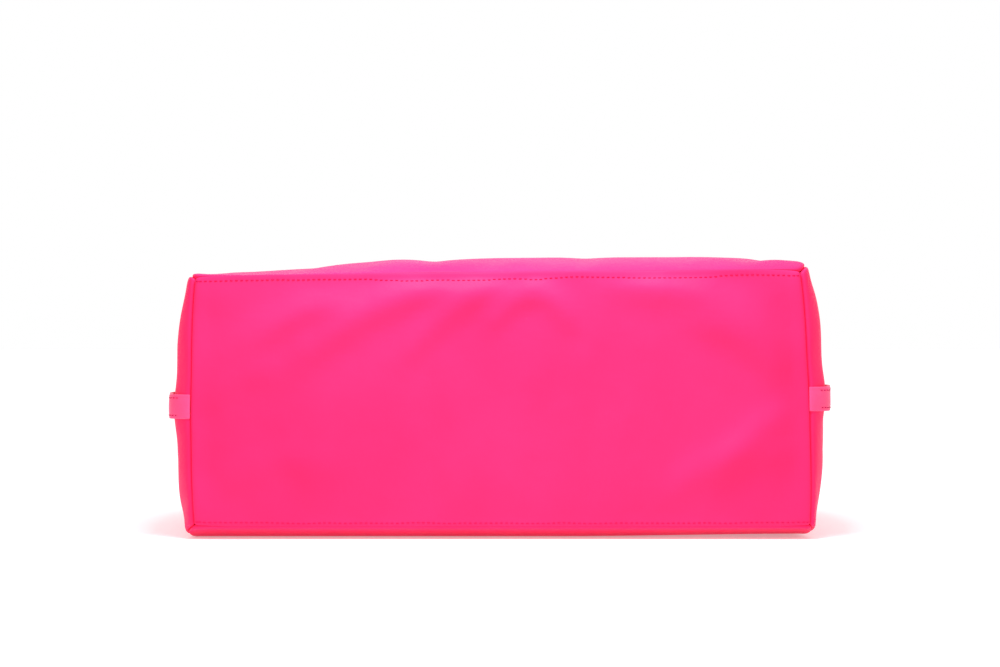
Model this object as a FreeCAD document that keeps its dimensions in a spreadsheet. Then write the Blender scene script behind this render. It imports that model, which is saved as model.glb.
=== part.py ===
import FreeCAD, Part
import math
import os

import Sketcher
from FreeCAD import Placement, Rotation, Vector

# A large soft beach tote lying on its back panel, in millimetres.
# X runs across the bag, +Y from the base panel to the open rim, +Z up.
# The origin is where the back panel lies flat on the floor.

doc = FreeCAD.newDocument("BeachBag")
sheet = doc.addObject("Spreadsheet::Sheet", "Sizes")

# The sewn shell is described by six rings, from the base seam to the rim: where the ring
# is along Y, the height of its low seam, the half width and height of its top seam, and
# how far the gusset and the front panel bow out between the seams.
RINGS = [
    (-165, 9, 235, 206, 3, 0.5),
    (-140, 0, 237, 208, 15, 5),
    (-60, 0, 238, 208, 27, 10),
    (50, 0, 239, 202, 22, 8),
    (100, 4.5, 240, 194, 14, 2),
    (165, 10, 240, 188, 8, -5),
]
RING_WORDS = ("at", "low_up", "top_half", "top_up", "side_bow", "top_bow")

SIZES = [
    ("low_half", 240, "half the width of the back panel"),
    ("base_lean", 5, "degrees the base panel leans back"),
    ("cloth", 2, "shell panel with its backing"),
    ("seam_gap", 0.3, "gap between sewn panels"),
    ("inset_gap", 0.4, "gap between the shell and what lines it"),
    ("lining_cloth", 0.6, "lining"),
    ("facing_cloth", 1.5, "doubled facing inside the rim"),
    ("foam", 3, "foam pad inside the base"),
    ("strap_wide", 19, "side strap"),
    ("strap_thick", 3, "side strap, two layers"),
    ("strap_gap", 0.8, "gap between a strap and the curved gusset"),
    ("left_strap_up", 102, "height of the left strap's middle"),
    ("right_strap_up", 108, "height of the right strap's middle"),
    ("strap_start", -155.2, "where the side strap leaves the base seam"),
    ("loop_at", 150, "middle of the D ring's bar"),
    ("fold_end", 126, "cut end of the strap folded back round the D ring"),
    ("strap_rivet_at", 135, "rivet through the folded strap"),
    ("layer", 1.5, "one layer of strap leather"),
    ("dee_wire", 3.5, "D ring wire"),
    ("dee_inside", 20, "D ring's inside width"),
    ("dee_side", 5, "straight side of the D ring"),
    ("turn_fit", 0.08, "radial clearance of a ring's bar in its loop"),
    ("tab_at", 85, "handle tabs each side of the middle"),
    ("tab_start", 115, "low end of a handle tab"),
    ("tab_wide", 22, "handle tab"),
    ("tab_reach", 54, "from a tab's low end to its ring's bar"),
    ("tab_layer", 2.2, "handle tab leather"),
    ("tab_gap", 0.5, "gap between a tab and the curved panel"),
    ("link_wire", 3.2, "handle ring wire"),
    ("link_inside", 23, "handle ring's inside width"),
    ("link_long", 10, "handle ring's inside length"),
    ("grip_thick", 11, "rolled handle"),
    ("chape_thick", 5.2, "flattened handle end"),
    ("chape_wide", 20, "flattened handle end"),
    ("chape_long", 34, "flattened handle end"),
    ("leg_long", 130, "straight leg of a handle"),
    ("rivet_head", 8, "rivet head"),
    ("rivet_shank", 2.8, "rivet shank"),
    ("rivet_dome", 1.2, "height of a rivet head"),
    ("pocket_wide", 190, "zip pocket inside"),
    ("pocket_low", -85, "bottom of the pocket"),
    ("pocket_top", 22, "top of the pocket"),
    ("pocket_thick", 1.2, "pocket pouch"),
    ("tape_wide", 24, "zip tape"),
    ("tape_thick", 0.6, "zip tape"),
    ("chain_long", 172, "zip chain"),
    ("tooth_pitch", 2.5, "zip teeth"),
    ("tooth_wide", 1.1, "zip tooth along the chain"),
    ("tooth_high", 1.4, "zip tooth"),
    ("tooth_tip", 0.5, "how far a tooth reaches past the chain's middle"),
    ("tooth_root", 1.8, "from the chain's middle to a tooth's root"),
    ("bead_near", 0.9, "from the chain's middle to the near side of a bead"),
    ("bead_far", 2.2, "from the chain's middle to the far side of a bead"),
    ("row_start", 1, "from the chain's end to its first tooth"),
    ("stop_gap", 0.3, "between the chain's end and a stop"),
    ("stop_long", 2, "zip stop along the chain"),
    ("stop_wide", 4.4, "zip stop across the chain"),
    ("slider_at", -76, "slider at the closed end"),
    ("slider_long", 12, "zip slider"),
    ("slider_wide", 9, "zip slider"),
    ("slider_fit", 0.3, "clearance of the slider over tape and teeth"),
    ("slider_top", 1.5, "from the teeth to the top of the slider"),
    ("flange", 1.4, "slider flange"),
    ("bridge_half", 4, "half the length of the slider's bridge"),
    ("bridge_leg", 1.2, "leg of the bridge"),
    ("bridge_room", 1.3, "from the pin's middle to the bridge's underside"),
    ("bridge_over", 2.3, "from the pin's middle to the bridge's top"),
    ("bridge_wide", 2.4, "bridge across the chain"),
    ("pin_up", 2.8, "from the teeth to the pin's middle"),
    ("pull_long", 26, "zip pull"),
    ("pull_wide", 7, "zip pull"),
    ("pull_thick", 1.4, "zip pull"),
    ("neck_half", 2.9, "half the width of the pull at its arms"),
    ("neck_end", 7, "from the pin to where the pull widens"),
    ("blade_start", 10, "from the pin to the pull's full width"),
    ("fork_half", 1.7, "half the gap between the pull's arms"),
    ("fork_long", 6.2, "length of the gap between the pull's arms"),
    ("welt_end", 4, "from the chain's end to the welt"),
    ("welt_side", 1, "from the slider's side to the welt"),
    ("pin_thick", 1.6, "zip pull's pin"),
    ("snap_at", 150, "magnetic snap"),
    ("snap_thick", 3.2, "magnetic snap disc"),
    ("snap_wide", 18, "magnetic snap disc"),
]


def fill_sheet():
    """Write every driving size into the sheet, one row each, with its name as alias."""
    rows = list(SIZES)
    for number, ring in enumerate(RINGS):
        for word, amount in zip(RING_WORDS, ring):
            rows.append(("ring%d_%s" % (number, word), amount, "shell ring"))
    for row, (alias, amount, note) in enumerate(rows, start=1):
        sheet.set("A%d" % row, note)
        sheet.set("B%d" % row, str(amount))
        sheet.setAlias("B%d" % row, alias)
    doc.recompute()


fill_sheet()


def value(rule):
    """The number that an expression over the sheet comes to."""
    if isinstance(rule, (int, float)):
        return float(rule)
    return float(sheet.evalExpression(rule))


def cell(alias):
    return "Sizes.%s" % alias


def ring(number, word):
    return "Sizes.ring%d_%s" % (number, word)


PARTS = []


def add_part(thing, label):
    """Give a finished sub-part its label and put it on the list to be written."""
    thing.Label = label
    PARTS.append(thing)
    return thing


def new_body(name):
    body = doc.addObject("PartDesign::Body", "Body_" + name)
    return add_part(body, name)


def new_sketch(body, name, role, offset="0", lean=0.0):
    """A sketch on one of the body's own origin planes, moved off it and leaned."""
    plane = [f for f in body.Origin.OriginFeatures if f.Role == role][0]
    sketch = body.newObject("Sketcher::SketchObject", body.Label + "_" + name)
    sketch.AttachmentSupport = [(plane, "")]
    sketch.MapMode = "FlatFace"
    turn = Rotation(Vector(1, 0, 0), lean)
    sketch.AttachmentOffset = Placement(Vector(0, 0, value(offset)), turn)
    sketch.setExpression(".AttachmentOffset.Base.z", offset)
    return sketch


def bind(sketch, kind, places, rule):
    """Add a dimension to a sketch and bind it to the sheet."""
    number = sketch.addConstraint(Sketcher.Constraint(kind, *places, value(rule)))
    sketch.setExpression("Constraints[%d]" % number, rule)


STRAIGHT = 1e-6


def end_at(sketch, geometry, spot):
    """Which end of a side is at a spot: 1 for its start, 2 for its end."""
    return 1 if sketch.getPoint(geometry, 1).distanceToPoint(spot) < 1e-4 else 2


def outline(sketch, corners):
    """A closed outline. Each corner is (x, y, bow): two rules for its place, and one for
    how far the side after it bows out to its right, or None for a straight side."""
    count = len(corners)
    spots = [Vector(value(x), value(y), 0) for x, y, bow in corners]
    first = sketch.GeometryCount
    for number, (x, y, bow) in enumerate(corners):
        start = spots[number]
        end = spots[(number + 1) % count]
        if bow is None or abs(value(bow)) < STRAIGHT:
            sketch.addGeometry(Part.LineSegment(start, end), False)
            continue
        run = end - start
        right = Vector(run.y, -run.x, 0).normalize()
        crest = (start + end) * 0.5 + right * value(bow)
        sketch.addGeometry(Part.Arc(start, crest, end), False)
    for number, (x, y, bow) in enumerate(corners):
        here = first + number
        end = end_at(sketch, here, spots[number])
        bind(sketch, "DistanceX", (-1, 1, here, end), x)
        bind(sketch, "DistanceY", (-1, 1, here, end), y)
    for number, (x, y, bow) in enumerate(corners):
        after = (number + 1) % count
        here = first + number
        far_end = end_at(sketch, here, spots[after])
        next_end = end_at(sketch, first + after, spots[after])
        sketch.addConstraint(
            Sketcher.Constraint("Coincident", here, far_end, first + after, next_end)
        )
        if bow is None or abs(value(bow)) < STRAIGHT:
            continue
        run = spots[after] - spots[number]
        if abs(run.Length / 2 - abs(value(bow))) > 0.01:
            x_far, y_far, unused = corners[after]
            reach = "((%s) - (%s))^2 + ((%s) - (%s))^2" % (x_far, x, y_far, y)
            size = "abs(%s)" % bow
            bind(sketch, "Radius", (here,), "(%s) / (8 * %s) + %s / 2" % (reach, size, size))
        elif abs(run.x) > abs(run.y):
            bind(sketch, "DistanceY", (-1, 1, here, 3), y)
        else:
            bind(sketch, "DistanceX", (-1, 1, here, 3), x)


def circle(sketch, x, y, radius):
    """A round outline bound to the sheet."""
    number = sketch.addGeometry(
        Part.Circle(Vector(value(x), value(y), 0), Vector(0, 0, 1), value(radius)), False
    )
    bind(sketch, "DistanceX", (-1, 1, number, 3), x)
    bind(sketch, "DistanceY", (-1, 1, number, 3), y)
    bind(sketch, "Radius", (number,), radius)


def pad(body, sketch, length, middle=True, reverse=False):
    feature = body.newObject("PartDesign::Pad", sketch.Label + "_pad")
    feature.Profile = sketch
    feature.Length = value(length)
    feature.setExpression("Length", length)
    if middle:
        feature.SideType = "Symmetric"
    feature.Reversed = reverse
    return feature


def cut_through(body, sketch, length):
    """A pocket cut both ways from its sketch."""
    doc.recompute()
    before = body.Shape.Volume
    feature = body.newObject("PartDesign::Pocket", sketch.Label + "_cut")
    feature.Profile = sketch
    feature.Length = value(length)
    feature.setExpression("Length", length)
    feature.SideType = "Symmetric"
    doc.recompute()
    print(body.Label, "cut removes", round(before - body.Shape.Volume, 1))
    return feature


def loft(body, sketches, kind="Additive"):
    """Straight sheets from each section to the next."""
    feature = body.newObject("PartDesign::%sLoft" % kind, body.Label + "_" + kind)
    feature.Profile = (sketches[0], [""])
    feature.Sections = [(sketch, [""]) for sketch in sketches[1:]]
    feature.Ruled = True
    return feature


# ---------------------------------------------------------------- sewn shell

LAST = len(RINGS) - 1
LEAN = value(cell("base_lean"))


def ring_sketch(body, name, number, inward="0"):
    """The sketch plane of a shell ring. Ring 0 leans back with the base panel."""
    lean = -LEAN if number == 0 else 0.0
    if number == 0:
        offset = "-(%s) - (%s) / cos(%s)" % (ring(0, "at"), inward, "Sizes.base_lean * 1deg")
    else:
        offset = "-(%s)" % ring(number, "at")
    return new_sketch(body, "%s%d" % (name, number), "XZ_Plane", offset, lean)


LOW_HALF = cell("low_half")


def low_up(number):
    return ring(number, "low_up")


def top_up(number):
    return ring(number, "top_up")


def back_panel():
    """The panel the bag lies on, flat but for its two ends, which turn up."""
    body = new_body("back_panel")
    sketch = new_sketch(body, "edge", "YZ_Plane")
    under = []
    for number in range(LAST + 1):
        place = ring(number, "at")
        if number == 0:
            place = "(%s + %s * tan(Sizes.base_lean * 1deg))" % (place, low_up(number))
        under.append((place, low_up(number), None))
    over = [(y, "%s + Sizes.cloth" % z, None) for y, z, bow in reversed(under)]
    outline(sketch, under + over)
    pad(body, sketch, "2 * Sizes.low_half")


def front_panel():
    body = new_body("front_panel")
    sections = []
    for number in range(LAST + 1):
        sketch = ring_sketch(body, "ring", number)
        half = ring(number, "top_half")
        bow = ring(number, "top_bow")
        below = "%s - Sizes.cloth" % top_up(number)
        outline(
            sketch,
            [
                (half, top_up(number), bow),
                ("-%s" % half, top_up(number), None),
                ("-%s" % half, below, "-%s" % bow),
                (half, below, None),
            ],
        )
        sections.append(sketch)
    loft(body, sections)


def gusset(name, side):
    """An end panel between the front and back panels. side is 1 on the right, -1 on the
    left."""
    body = new_body(name)
    sections = []
    for number in range(LAST + 1):
        sketch = ring_sketch(body, "ring", number)
        low = "%s + Sizes.cloth + Sizes.seam_gap" % low_up(number)
        top = "%s - Sizes.cloth - Sizes.seam_gap" % top_up(number)
        low_out = "%d * %s" % (side, LOW_HALF)
        top_out = "%d * %s" % (side, ring(number, "top_half"))
        low_in = "%d * (%s - Sizes.cloth)" % (side, LOW_HALF)
        top_in = "%d * (%s - Sizes.cloth)" % (side, ring(number, "top_half"))
        bow = "%d * %s" % (side, ring(number, "side_bow"))
        outline(
            sketch,
            [
                (low_out, low, bow),
                (top_out, top, None),
                (top_in, top, "-(%s)" % bow),
                (low_in, low, None),
            ],
        )
        sections.append(sketch)
    loft(body, sections)


def inset_ring(body, name, number, inset, inward="0"):
    """The whole inside outline of the shell at a ring, an inset in from the outside."""
    sketch = ring_sketch(body, name, number, inward)
    low = "%s + %s" % (low_up(number), inset)
    top = "%s - (%s)" % (top_up(number), inset)
    low_half = "(%s - (%s))" % (LOW_HALF, inset)
    top_half = "(%s - (%s))" % (ring(number, "top_half"), inset)
    side = ring(number, "side_bow")
    outline(
        sketch,
        [
            ("-%s" % low_half, low, None),
            (low_half, low, side),
            (top_half, top, ring(number, "top_bow")),
            ("-%s" % top_half, top, side),
        ],
    )
    return sketch


def rim_facing():
    body = new_body("rim_facing")
    outer = "(Sizes.cloth + Sizes.inset_gap)"
    inner = "(Sizes.cloth + Sizes.inset_gap + Sizes.facing_cloth)"
    rings = (LAST - 1, LAST)
    loft(body, [inset_ring(body, "outer", number, outer) for number in rings])
    doc.recompute()
    loft(body, [inset_ring(body, "inner", number, inner) for number in rings], "Subtractive")


def lining_bag():
    body = new_body("lining_bag")
    outer = "(Sizes.cloth + Sizes.inset_gap)"
    inner = "(Sizes.cloth + Sizes.inset_gap + Sizes.lining_cloth)"
    depth = "(Sizes.foam + 2 * Sizes.inset_gap)"
    depth_inner = "(Sizes.foam + 2 * Sizes.inset_gap + Sizes.lining_cloth)"
    for kind, inset, base in (("Additive", outer, depth), ("Subtractive", inner, depth_inner)):
        sections = [inset_ring(body, kind, 0, inset, base)]
        for number in range(1, LAST):
            sections.append(inset_ring(body, kind, number, inset))
        loft(body, sections, kind)
        doc.recompute()


def base_outline(sketch, inset):
    low = "%s + %s" % (low_up(0), inset)
    top = "%s - (%s)" % (top_up(0), inset)
    low_half = "(%s - (%s))" % (LOW_HALF, inset)
    top_half = "(%s - (%s))" % (ring(0, "top_half"), inset)
    side = ring(0, "side_bow")
    outline(
        sketch,
        [
            ("-%s" % low_half, low, None),
            (low_half, low, side),
            (top_half, top, None),
            ("-%s" % top_half, top, side),
        ],
    )


def base_panel():
    body = new_body("base_panel")
    sketch = ring_sketch(body, "outline", 0, "-Sizes.seam_gap")
    base_outline(sketch, "0")
    pad(body, sketch, cell("cloth"), middle=False)


def base_foam_pad():
    body = new_body("base_foam_pad")
    sketch = ring_sketch(body, "outline", 0, "Sizes.inset_gap")
    base_outline(sketch, "(Sizes.cloth + 2 * Sizes.inset_gap)")
    pad(body, sketch, cell("foam"), middle=False, reverse=True)


# ---------------------------------------------------------------- side straps


def strap_face(number):
    """How far out the inside face of a side strap is at a ring."""
    return "((%s + %s) / 2 + %s + Sizes.strap_gap)" % (
        LOW_HALF,
        ring(number, "top_half"),
        ring(number, "side_bow"),
    )


def strap_face_at(place):
    """The same between the last two rings, at a place along the bag."""
    share = "((%s - %s) / (%s - %s))" % (
        place,
        ring(LAST - 1, "at"),
        ring(LAST, "at"),
        ring(LAST - 1, "at"),
    )
    return "(%s + (%s - %s) * %s)" % (
        strap_face(LAST - 1),
        strap_face(LAST),
        strap_face(LAST - 1),
        share,
    )


LOOP_OUT = "(Sizes.dee_wire / 2 + Sizes.turn_fit + Sizes.layer)"
LOOP_MIDDLE = "(%s + %s)" % (strap_face_at("Sizes.loop_at"), LOOP_OUT)


def side_strap(name, side, up):
    """A flat strap up the middle of a gusset, folded back on itself round the D ring."""
    body = new_body(name)
    sketch = new_sketch(body, "edge", "XY_Plane", up)
    inside = [(strap_face(0), "Sizes.strap_start")]
    inside += [(strap_face(number), ring(number, "at")) for number in range(1, LAST)]
    outside = [("(%s + Sizes.strap_thick)" % x, y) for x, y in inside]
    fold_face = "(%s + Sizes.strap_thick)" % strap_face_at("Sizes.fold_end")
    near = "(%s - %s)" % (LOOP_MIDDLE, LOOP_OUT)
    far = "(%s + %s)" % (LOOP_MIDDLE, LOOP_OUT)
    corners = [(x, y, None) for x, y in inside]
    corners.append((near, "Sizes.loop_at", "-%s" % LOOP_OUT))
    corners.append((far, "Sizes.loop_at", None))
    corners.append((far, "Sizes.fold_end", None))
    corners.append((fold_face, "Sizes.fold_end", None))
    corners += [(x, y, None) for x, y in reversed(outside)]
    if side > 0:
        placed = corners
    else:
        placed = [
            ("-%s" % x, y, None if bow is None else "-(%s)" % bow) for x, y, bow in corners
        ]
    outline(sketch, placed)
    middle = "%d * %s" % (side, LOOP_MIDDLE)
    circle(sketch, middle, "Sizes.loop_at", "Sizes.dee_wire / 2 + Sizes.turn_fit")
    pad(body, sketch, cell("strap_wide"))
    hole = new_sketch(body, "rivet_hole", "YZ_Plane", middle)
    circle(hole, "Sizes.strap_rivet_at", up, "Sizes.rivet_shank / 2 + Sizes.turn_fit")
    cut_through(body, hole, "6 * Sizes.strap_thick")


def fused(name, pieces):
    """Primitives joined into one sub-part."""
    fuse = doc.addObject("Part::MultiFuse", "Fuse_" + name)
    fuse.Shapes = pieces
    return add_part(fuse, name)


def rod(name, thick, length, base, direction):
    """A round bar: thick and length are rules, and direction is its unit vector."""
    bar = doc.addObject("Part::Cylinder", name)
    bar.setExpression("Radius", "%s / 2" % thick)
    bar.setExpression("Height", length)
    bar.Placement = Placement(base, Rotation(Vector(0, 0, 1), direction))
    return bar


def ball(name, thick, place):
    knob = doc.addObject("Part::Sphere", name)
    knob.setExpression("Radius", "%s / 2" % thick)
    knob.Placement = Placement(place, Rotation())
    return knob


def dee_ring(name, side, up):
    """A D ring: its bar along Z lies in the strap's fold and the bow points away from the
    base."""
    half = value("Sizes.dee_inside / 2 + Sizes.dee_wire / 2")
    side_long = value("Sizes.dee_side")
    pieces = [
        rod(
            name + "_bar",
            "Sizes.dee_wire",
            "Sizes.dee_inside + Sizes.dee_wire",
            Vector(0, 0, -half),
            Vector(0, 0, 1),
        )
    ]
    for end in (-1, 1):
        corner = Vector(0, 0, end * half)
        tag = "_low" if end < 0 else "_high"
        pieces.append(ball(name + tag + "_corner", "Sizes.dee_wire", corner))
        pieces.append(
            rod(name + tag + "_side", "Sizes.dee_wire", "Sizes.dee_side", corner, Vector(0, 1, 0))
        )
    bow = doc.addObject("Part::Torus", name + "_bow")
    bow.setExpression("Radius1", "Sizes.dee_inside / 2 + Sizes.dee_wire / 2")
    bow.setExpression("Radius2", "Sizes.dee_wire / 2")
    bow.Angle3 = 180
    bow.Placement = Placement(Vector(0, side_long, 0), Rotation(Vector(0, 1, 0), 90))
    pieces.append(bow)
    dee = fused(name, pieces)
    middle = Vector(side * value(LOOP_MIDDLE), value("Sizes.loop_at"), value(up))
    dee.Placement = Placement(middle, Rotation())
    return middle


def rivet(name, long_rule):
    """A domed rivet: its shank runs down from the origin and its head stands on it."""
    shank = rod(
        name + "_shank", "Sizes.rivet_shank", long_rule, Vector(0, 0, 0), Vector(0, 0, -1)
    )
    edge = doc.addObject("Part::Cone", name + "_head")
    edge.setExpression("Radius1", "Sizes.rivet_head / 2")
    edge.setExpression("Radius2", "Sizes.rivet_head / 3")
    edge.setExpression("Height", "Sizes.rivet_dome")
    fuse = doc.addObject("Part::MultiFuse", name)
    fuse.Shapes = [shank, edge]
    return fuse


def strap_rivet(name, side, up):
    pin = rivet("Fuse_" + name, "Sizes.strap_thick + Sizes.layer")
    add_part(pin, name)
    face = value("%s + %s + 0.02" % (LOOP_MIDDLE, LOOP_OUT))
    place = Vector(side * face, value("Sizes.strap_rivet_at"), value(up))
    pin.Placement = Placement(place, Rotation(Vector(0, 0, 1), Vector(side, 0, 0)))


# ---------------------------------------------------------------- handles

HANDLE_SIDES = (("left", -1), ("right", 1))


def panel_line(which):
    """Where the outside of a panel is at a handle tab: its height at the tab's low end
    and its slope in degrees towards the rim."""
    heights = []
    for number in (LAST - 1, LAST):
        if which == "back":
            heights.append(value(low_up(number)))
            continue
        half = value(ring(number, "top_half"))
        bow = value(ring(number, "top_bow"))
        share = 1 - (value("Sizes.tab_at") / half) ** 2
        heights.append(value(top_up(number)) + bow * share)
    run = value(ring(LAST, "at")) - value(ring(LAST - 1, "at"))
    slope = (heights[1] - heights[0]) / run
    start = heights[0] + slope * (value("Sizes.tab_start") - value(ring(LAST - 1, "at")))
    return start, math.degrees(math.atan(slope))


TAB_LOOP = "(Sizes.link_wire / 2 + Sizes.turn_fit + 0.8 * Sizes.tab_layer)"


def tab_place(which, side):
    """A tab's own frame: +Y along it towards the rim, +Z away from the panel."""
    start, slope = panel_line(which)
    turn = Rotation(Vector(1, 0, 0), slope)
    if which == "back":
        turn = turn.multiply(Rotation(Vector(0, 1, 0), 180))
    lift = turn.multVec(Vector(0, 0, value("Sizes.tab_gap")))
    base = Vector(side * value("Sizes.tab_at"), value("Sizes.tab_start"), start)
    return Placement(base + lift, turn)


def handle_tab(which, name, side):
    """A leather tab sewn to the panel, folded round the handle ring's near bar."""
    body = new_body(name)
    sketch = new_sketch(body, "edge", "YZ_Plane")
    loop_top = "2 * %s" % TAB_LOOP
    double = "2 * Sizes.tab_layer"
    outline(
        sketch,
        [
            ("0", "0", None),
            ("Sizes.tab_reach", "0", TAB_LOOP),
            ("Sizes.tab_reach", loop_top, None),
            ("Sizes.tab_reach - 4 * Sizes.tab_layer", double, None),
            ("4 * Sizes.tab_layer", double, None),
            ("4 * Sizes.tab_layer", "Sizes.tab_layer", None),
            ("0", "Sizes.tab_layer", None),
        ],
    )
    circle(sketch, "Sizes.tab_reach", TAB_LOOP, "Sizes.link_wire / 2 + Sizes.turn_fit")
    pad(body, sketch, cell("tab_wide"))
    hole = new_sketch(body, "rivet_hole", "XY_Plane")
    circle(hole, "0", "Sizes.tab_reach / 2", "Sizes.rivet_shank / 2 + Sizes.turn_fit")
    cut_through(body, hole, "8 * Sizes.tab_layer")
    body.Placement = tab_place(which, side)


def tab_rivets():
    """The four rivets of the handle tabs, as four solids of one sub-part."""
    pins = []
    for which in ("front", "back"):
        for word, side in HANDLE_SIDES:
            pin = rivet("Rivet_%s_%s" % (which, word), "2 * Sizes.tab_layer")
            place = tab_place(which, side)
            above = Vector(0, value("Sizes.tab_reach / 2"), value("2 * Sizes.tab_layer + 0.02"))
            pin.Placement = place.multiply(Placement(above, Rotation()))
            pins.append(pin)
    group = doc.addObject("Part::Compound", "Group_rivets")
    group.Links = pins
    add_part(group, "handle_tab_rivets")


def pivot(which):
    """Where a handle's rings turn in their tabs."""
    place = tab_place(which, 0)
    return place.multVec(Vector(0, value("Sizes.tab_reach"), value(TAB_LOOP)))


LINK_REACH = "(Sizes.link_long + Sizes.link_wire)"
HANDLE_REACH = "(%s + Sizes.chape_long + Sizes.leg_long + Sizes.tab_at)" % LINK_REACH


def handle_turn(which):
    """The angle of a handle at rest above the horizontal: its bow lies on the floor."""
    height = pivot(which).z - value("Sizes.grip_thick / 2") - 0.1
    return -math.degrees(math.asin(height / value(HANDLE_REACH)))


def handle_place(which):
    turn = Rotation(Vector(1, 0, 0), handle_turn(which))
    return Placement(pivot(which), turn)


def handle_ring(which, name, side):
    """A rectangular ring with round corners, its near bar on the handle's pivot."""
    half = value("Sizes.link_inside / 2 + Sizes.link_wire / 2")
    reach = value(LINK_REACH)
    wire = "Sizes.link_wire"
    across = "Sizes.link_inside + Sizes.link_wire"
    pieces = [
        rod(name + "_near", wire, across, Vector(-half, 0, 0), Vector(1, 0, 0)),
        rod(name + "_far", wire, across, Vector(-half, reach, 0), Vector(1, 0, 0)),
    ]
    for end in (-1, 1):
        tag = "_l" if end < 0 else "_r"
        corner = Vector(end * half, 0, 0)
        pieces.append(rod(name + tag + "_side", wire, LINK_REACH, corner, Vector(0, 1, 0)))
        pieces.append(ball(name + tag + "_near_corner", wire, corner))
        pieces.append(ball(name + tag + "_far_corner", wire, corner + Vector(0, reach, 0)))
    loop = fused(name, pieces)
    shift = Placement(Vector(side * value("Sizes.tab_at"), 0, 0), Rotation())
    loop.Placement = handle_place(which).multiply(shift)


def handle(which, name):
    """A rolled handle: two flattened ends folded round the rings' far bars, two straight
    legs and a half-round bow."""
    body = new_body(name)
    start = "(%s + 0.75 * Sizes.chape_long)" % LINK_REACH
    turn = "(%s + Sizes.chape_long + Sizes.leg_long)" % LINK_REACH
    path = new_sketch(body, "path", "XY_Plane")
    half = value("Sizes.tab_at")
    near = value(start)
    far = value(turn)
    path.addGeometry(Part.LineSegment(Vector(half, near, 0), Vector(half, far, 0)), False)
    crest = Vector(0, far + half, 0)
    path.addGeometry(Part.Arc(Vector(half, far, 0), crest, Vector(-half, far, 0)), False)
    path.addGeometry(Part.LineSegment(Vector(-half, far, 0), Vector(-half, near, 0)), False)
    bind(path, "DistanceX", (-1, 1, 0, 1), "Sizes.tab_at")
    bind(path, "DistanceY", (-1, 1, 0, 1), start)
    bind(path, "DistanceX", (-1, 1, 0, 2), "Sizes.tab_at")
    bind(path, "DistanceY", (-1, 1, 0, 2), turn)
    bind(path, "DistanceX", (-1, 1, 2, 2), "-Sizes.tab_at")
    bind(path, "DistanceY", (-1, 1, 2, 2), start)
    bind(path, "DistanceX", (-1, 1, 2, 1), "-Sizes.tab_at")
    bind(path, "DistanceY", (-1, 1, 2, 1), turn)
    section = new_sketch(body, "section", "XZ_Plane", "-%s" % start)
    circle(section, "Sizes.tab_at", "0", "Sizes.grip_thick / 2")
    pipe = body.newObject("PartDesign::AdditivePipe", body.Label + "_pipe")
    pipe.Profile = section
    pipe.Spine = (path, ["Edge1", "Edge2", "Edge3"])
    doc.recompute()
    for word, side in HANDLE_SIDES:
        end = new_sketch(body, word + "_end", "YZ_Plane", "%d * Sizes.tab_at" % side)
        low = "-Sizes.chape_thick / 2"
        high = "Sizes.chape_thick / 2"
        outline(
            end,
            [
                (LINK_REACH, high, high),
                (LINK_REACH, low, None),
                ("%s + Sizes.chape_long" % LINK_REACH, low, None),
                ("%s + Sizes.chape_long" % LINK_REACH, high, None),
            ],
        )
        pad(body, end, cell("chape_wide"))
        doc.recompute()
        bore = new_sketch(body, word + "_bore", "YZ_Plane", "%d * Sizes.tab_at" % side)
        circle(bore, LINK_REACH, "0", "Sizes.link_wire / 2 + Sizes.turn_fit")
        cut_through(body, bore, "2 * Sizes.chape_wide")
    body.Placement = handle_place(which)


# ---------------------------------------------------------------- inside pocket

POCKET_FLOOR = "(Sizes.cloth + Sizes.inset_gap + Sizes.lining_cloth + Sizes.seam_gap)"
TAPE_TOP = "(%s + Sizes.tape_thick)" % POCKET_FLOOR
CHAIN_AT = "(Sizes.pocket_top + Sizes.seam_gap + Sizes.tape_wide / 2)"
TEETH_TOP = "(%s + Sizes.tooth_high)" % TAPE_TOP


def plate(name, x_size, y_size, z_size, low_corner):
    """A plain rectangular piece, its sizes bound to the sheet."""
    box = doc.addObject("Part::Box", "Box_" + name)
    box.setExpression("Length", x_size)
    box.setExpression("Width", y_size)
    box.setExpression("Height", z_size)
    box.Placement = Placement(Vector(*[value(rule) for rule in low_corner]), Rotation())
    return box


def pocket_pouch():
    body = new_body("pocket_pouch")
    sketch = new_sketch(body, "outline", "XY_Plane", POCKET_FLOOR)
    half = "Sizes.pocket_wide / 2"
    outline(
        sketch,
        [
            ("-%s" % half, "Sizes.pocket_low", None),
            (half, "Sizes.pocket_low", None),
            (half, "Sizes.pocket_top", None),
            ("-%s" % half, "Sizes.pocket_top", None),
        ],
    )
    pad(body, sketch, cell("pocket_thick"), middle=False)


def pocket_zip_tape():
    low = ("-Sizes.pocket_wide / 2", "Sizes.pocket_top + Sizes.seam_gap", POCKET_FLOOR)
    tape = plate("tape", cell("pocket_wide"), cell("tape_wide"), cell("tape_thick"), low)
    add_part(tape, "pocket_zip_tape")


def pocket_welt():
    """A frame of lining cloth round the zip, sewn over the tape's edge."""
    body = new_body("pocket_welt")
    sketch = new_sketch(body, "frame", "XY_Plane", TAPE_TOP)
    for half_x, half_y in (
        ("(Sizes.pocket_wide / 2)", "(Sizes.tape_wide / 2)"),
        (
            "(Sizes.chain_long / 2 + Sizes.welt_end)",
            "(Sizes.slider_wide / 2 + Sizes.welt_side)",
        ),
    ):
        low = "%s - %s" % (CHAIN_AT, half_y)
        high = "%s + %s" % (CHAIN_AT, half_y)
        outline(
            sketch,
            [
                ("-%s" % half_x, low, None),
                (half_x, low, None),
                (half_x, high, None),
                ("-%s" % half_x, high, None),
            ],
        )
    pad(body, sketch, cell("tape_thick"), middle=False)


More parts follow.
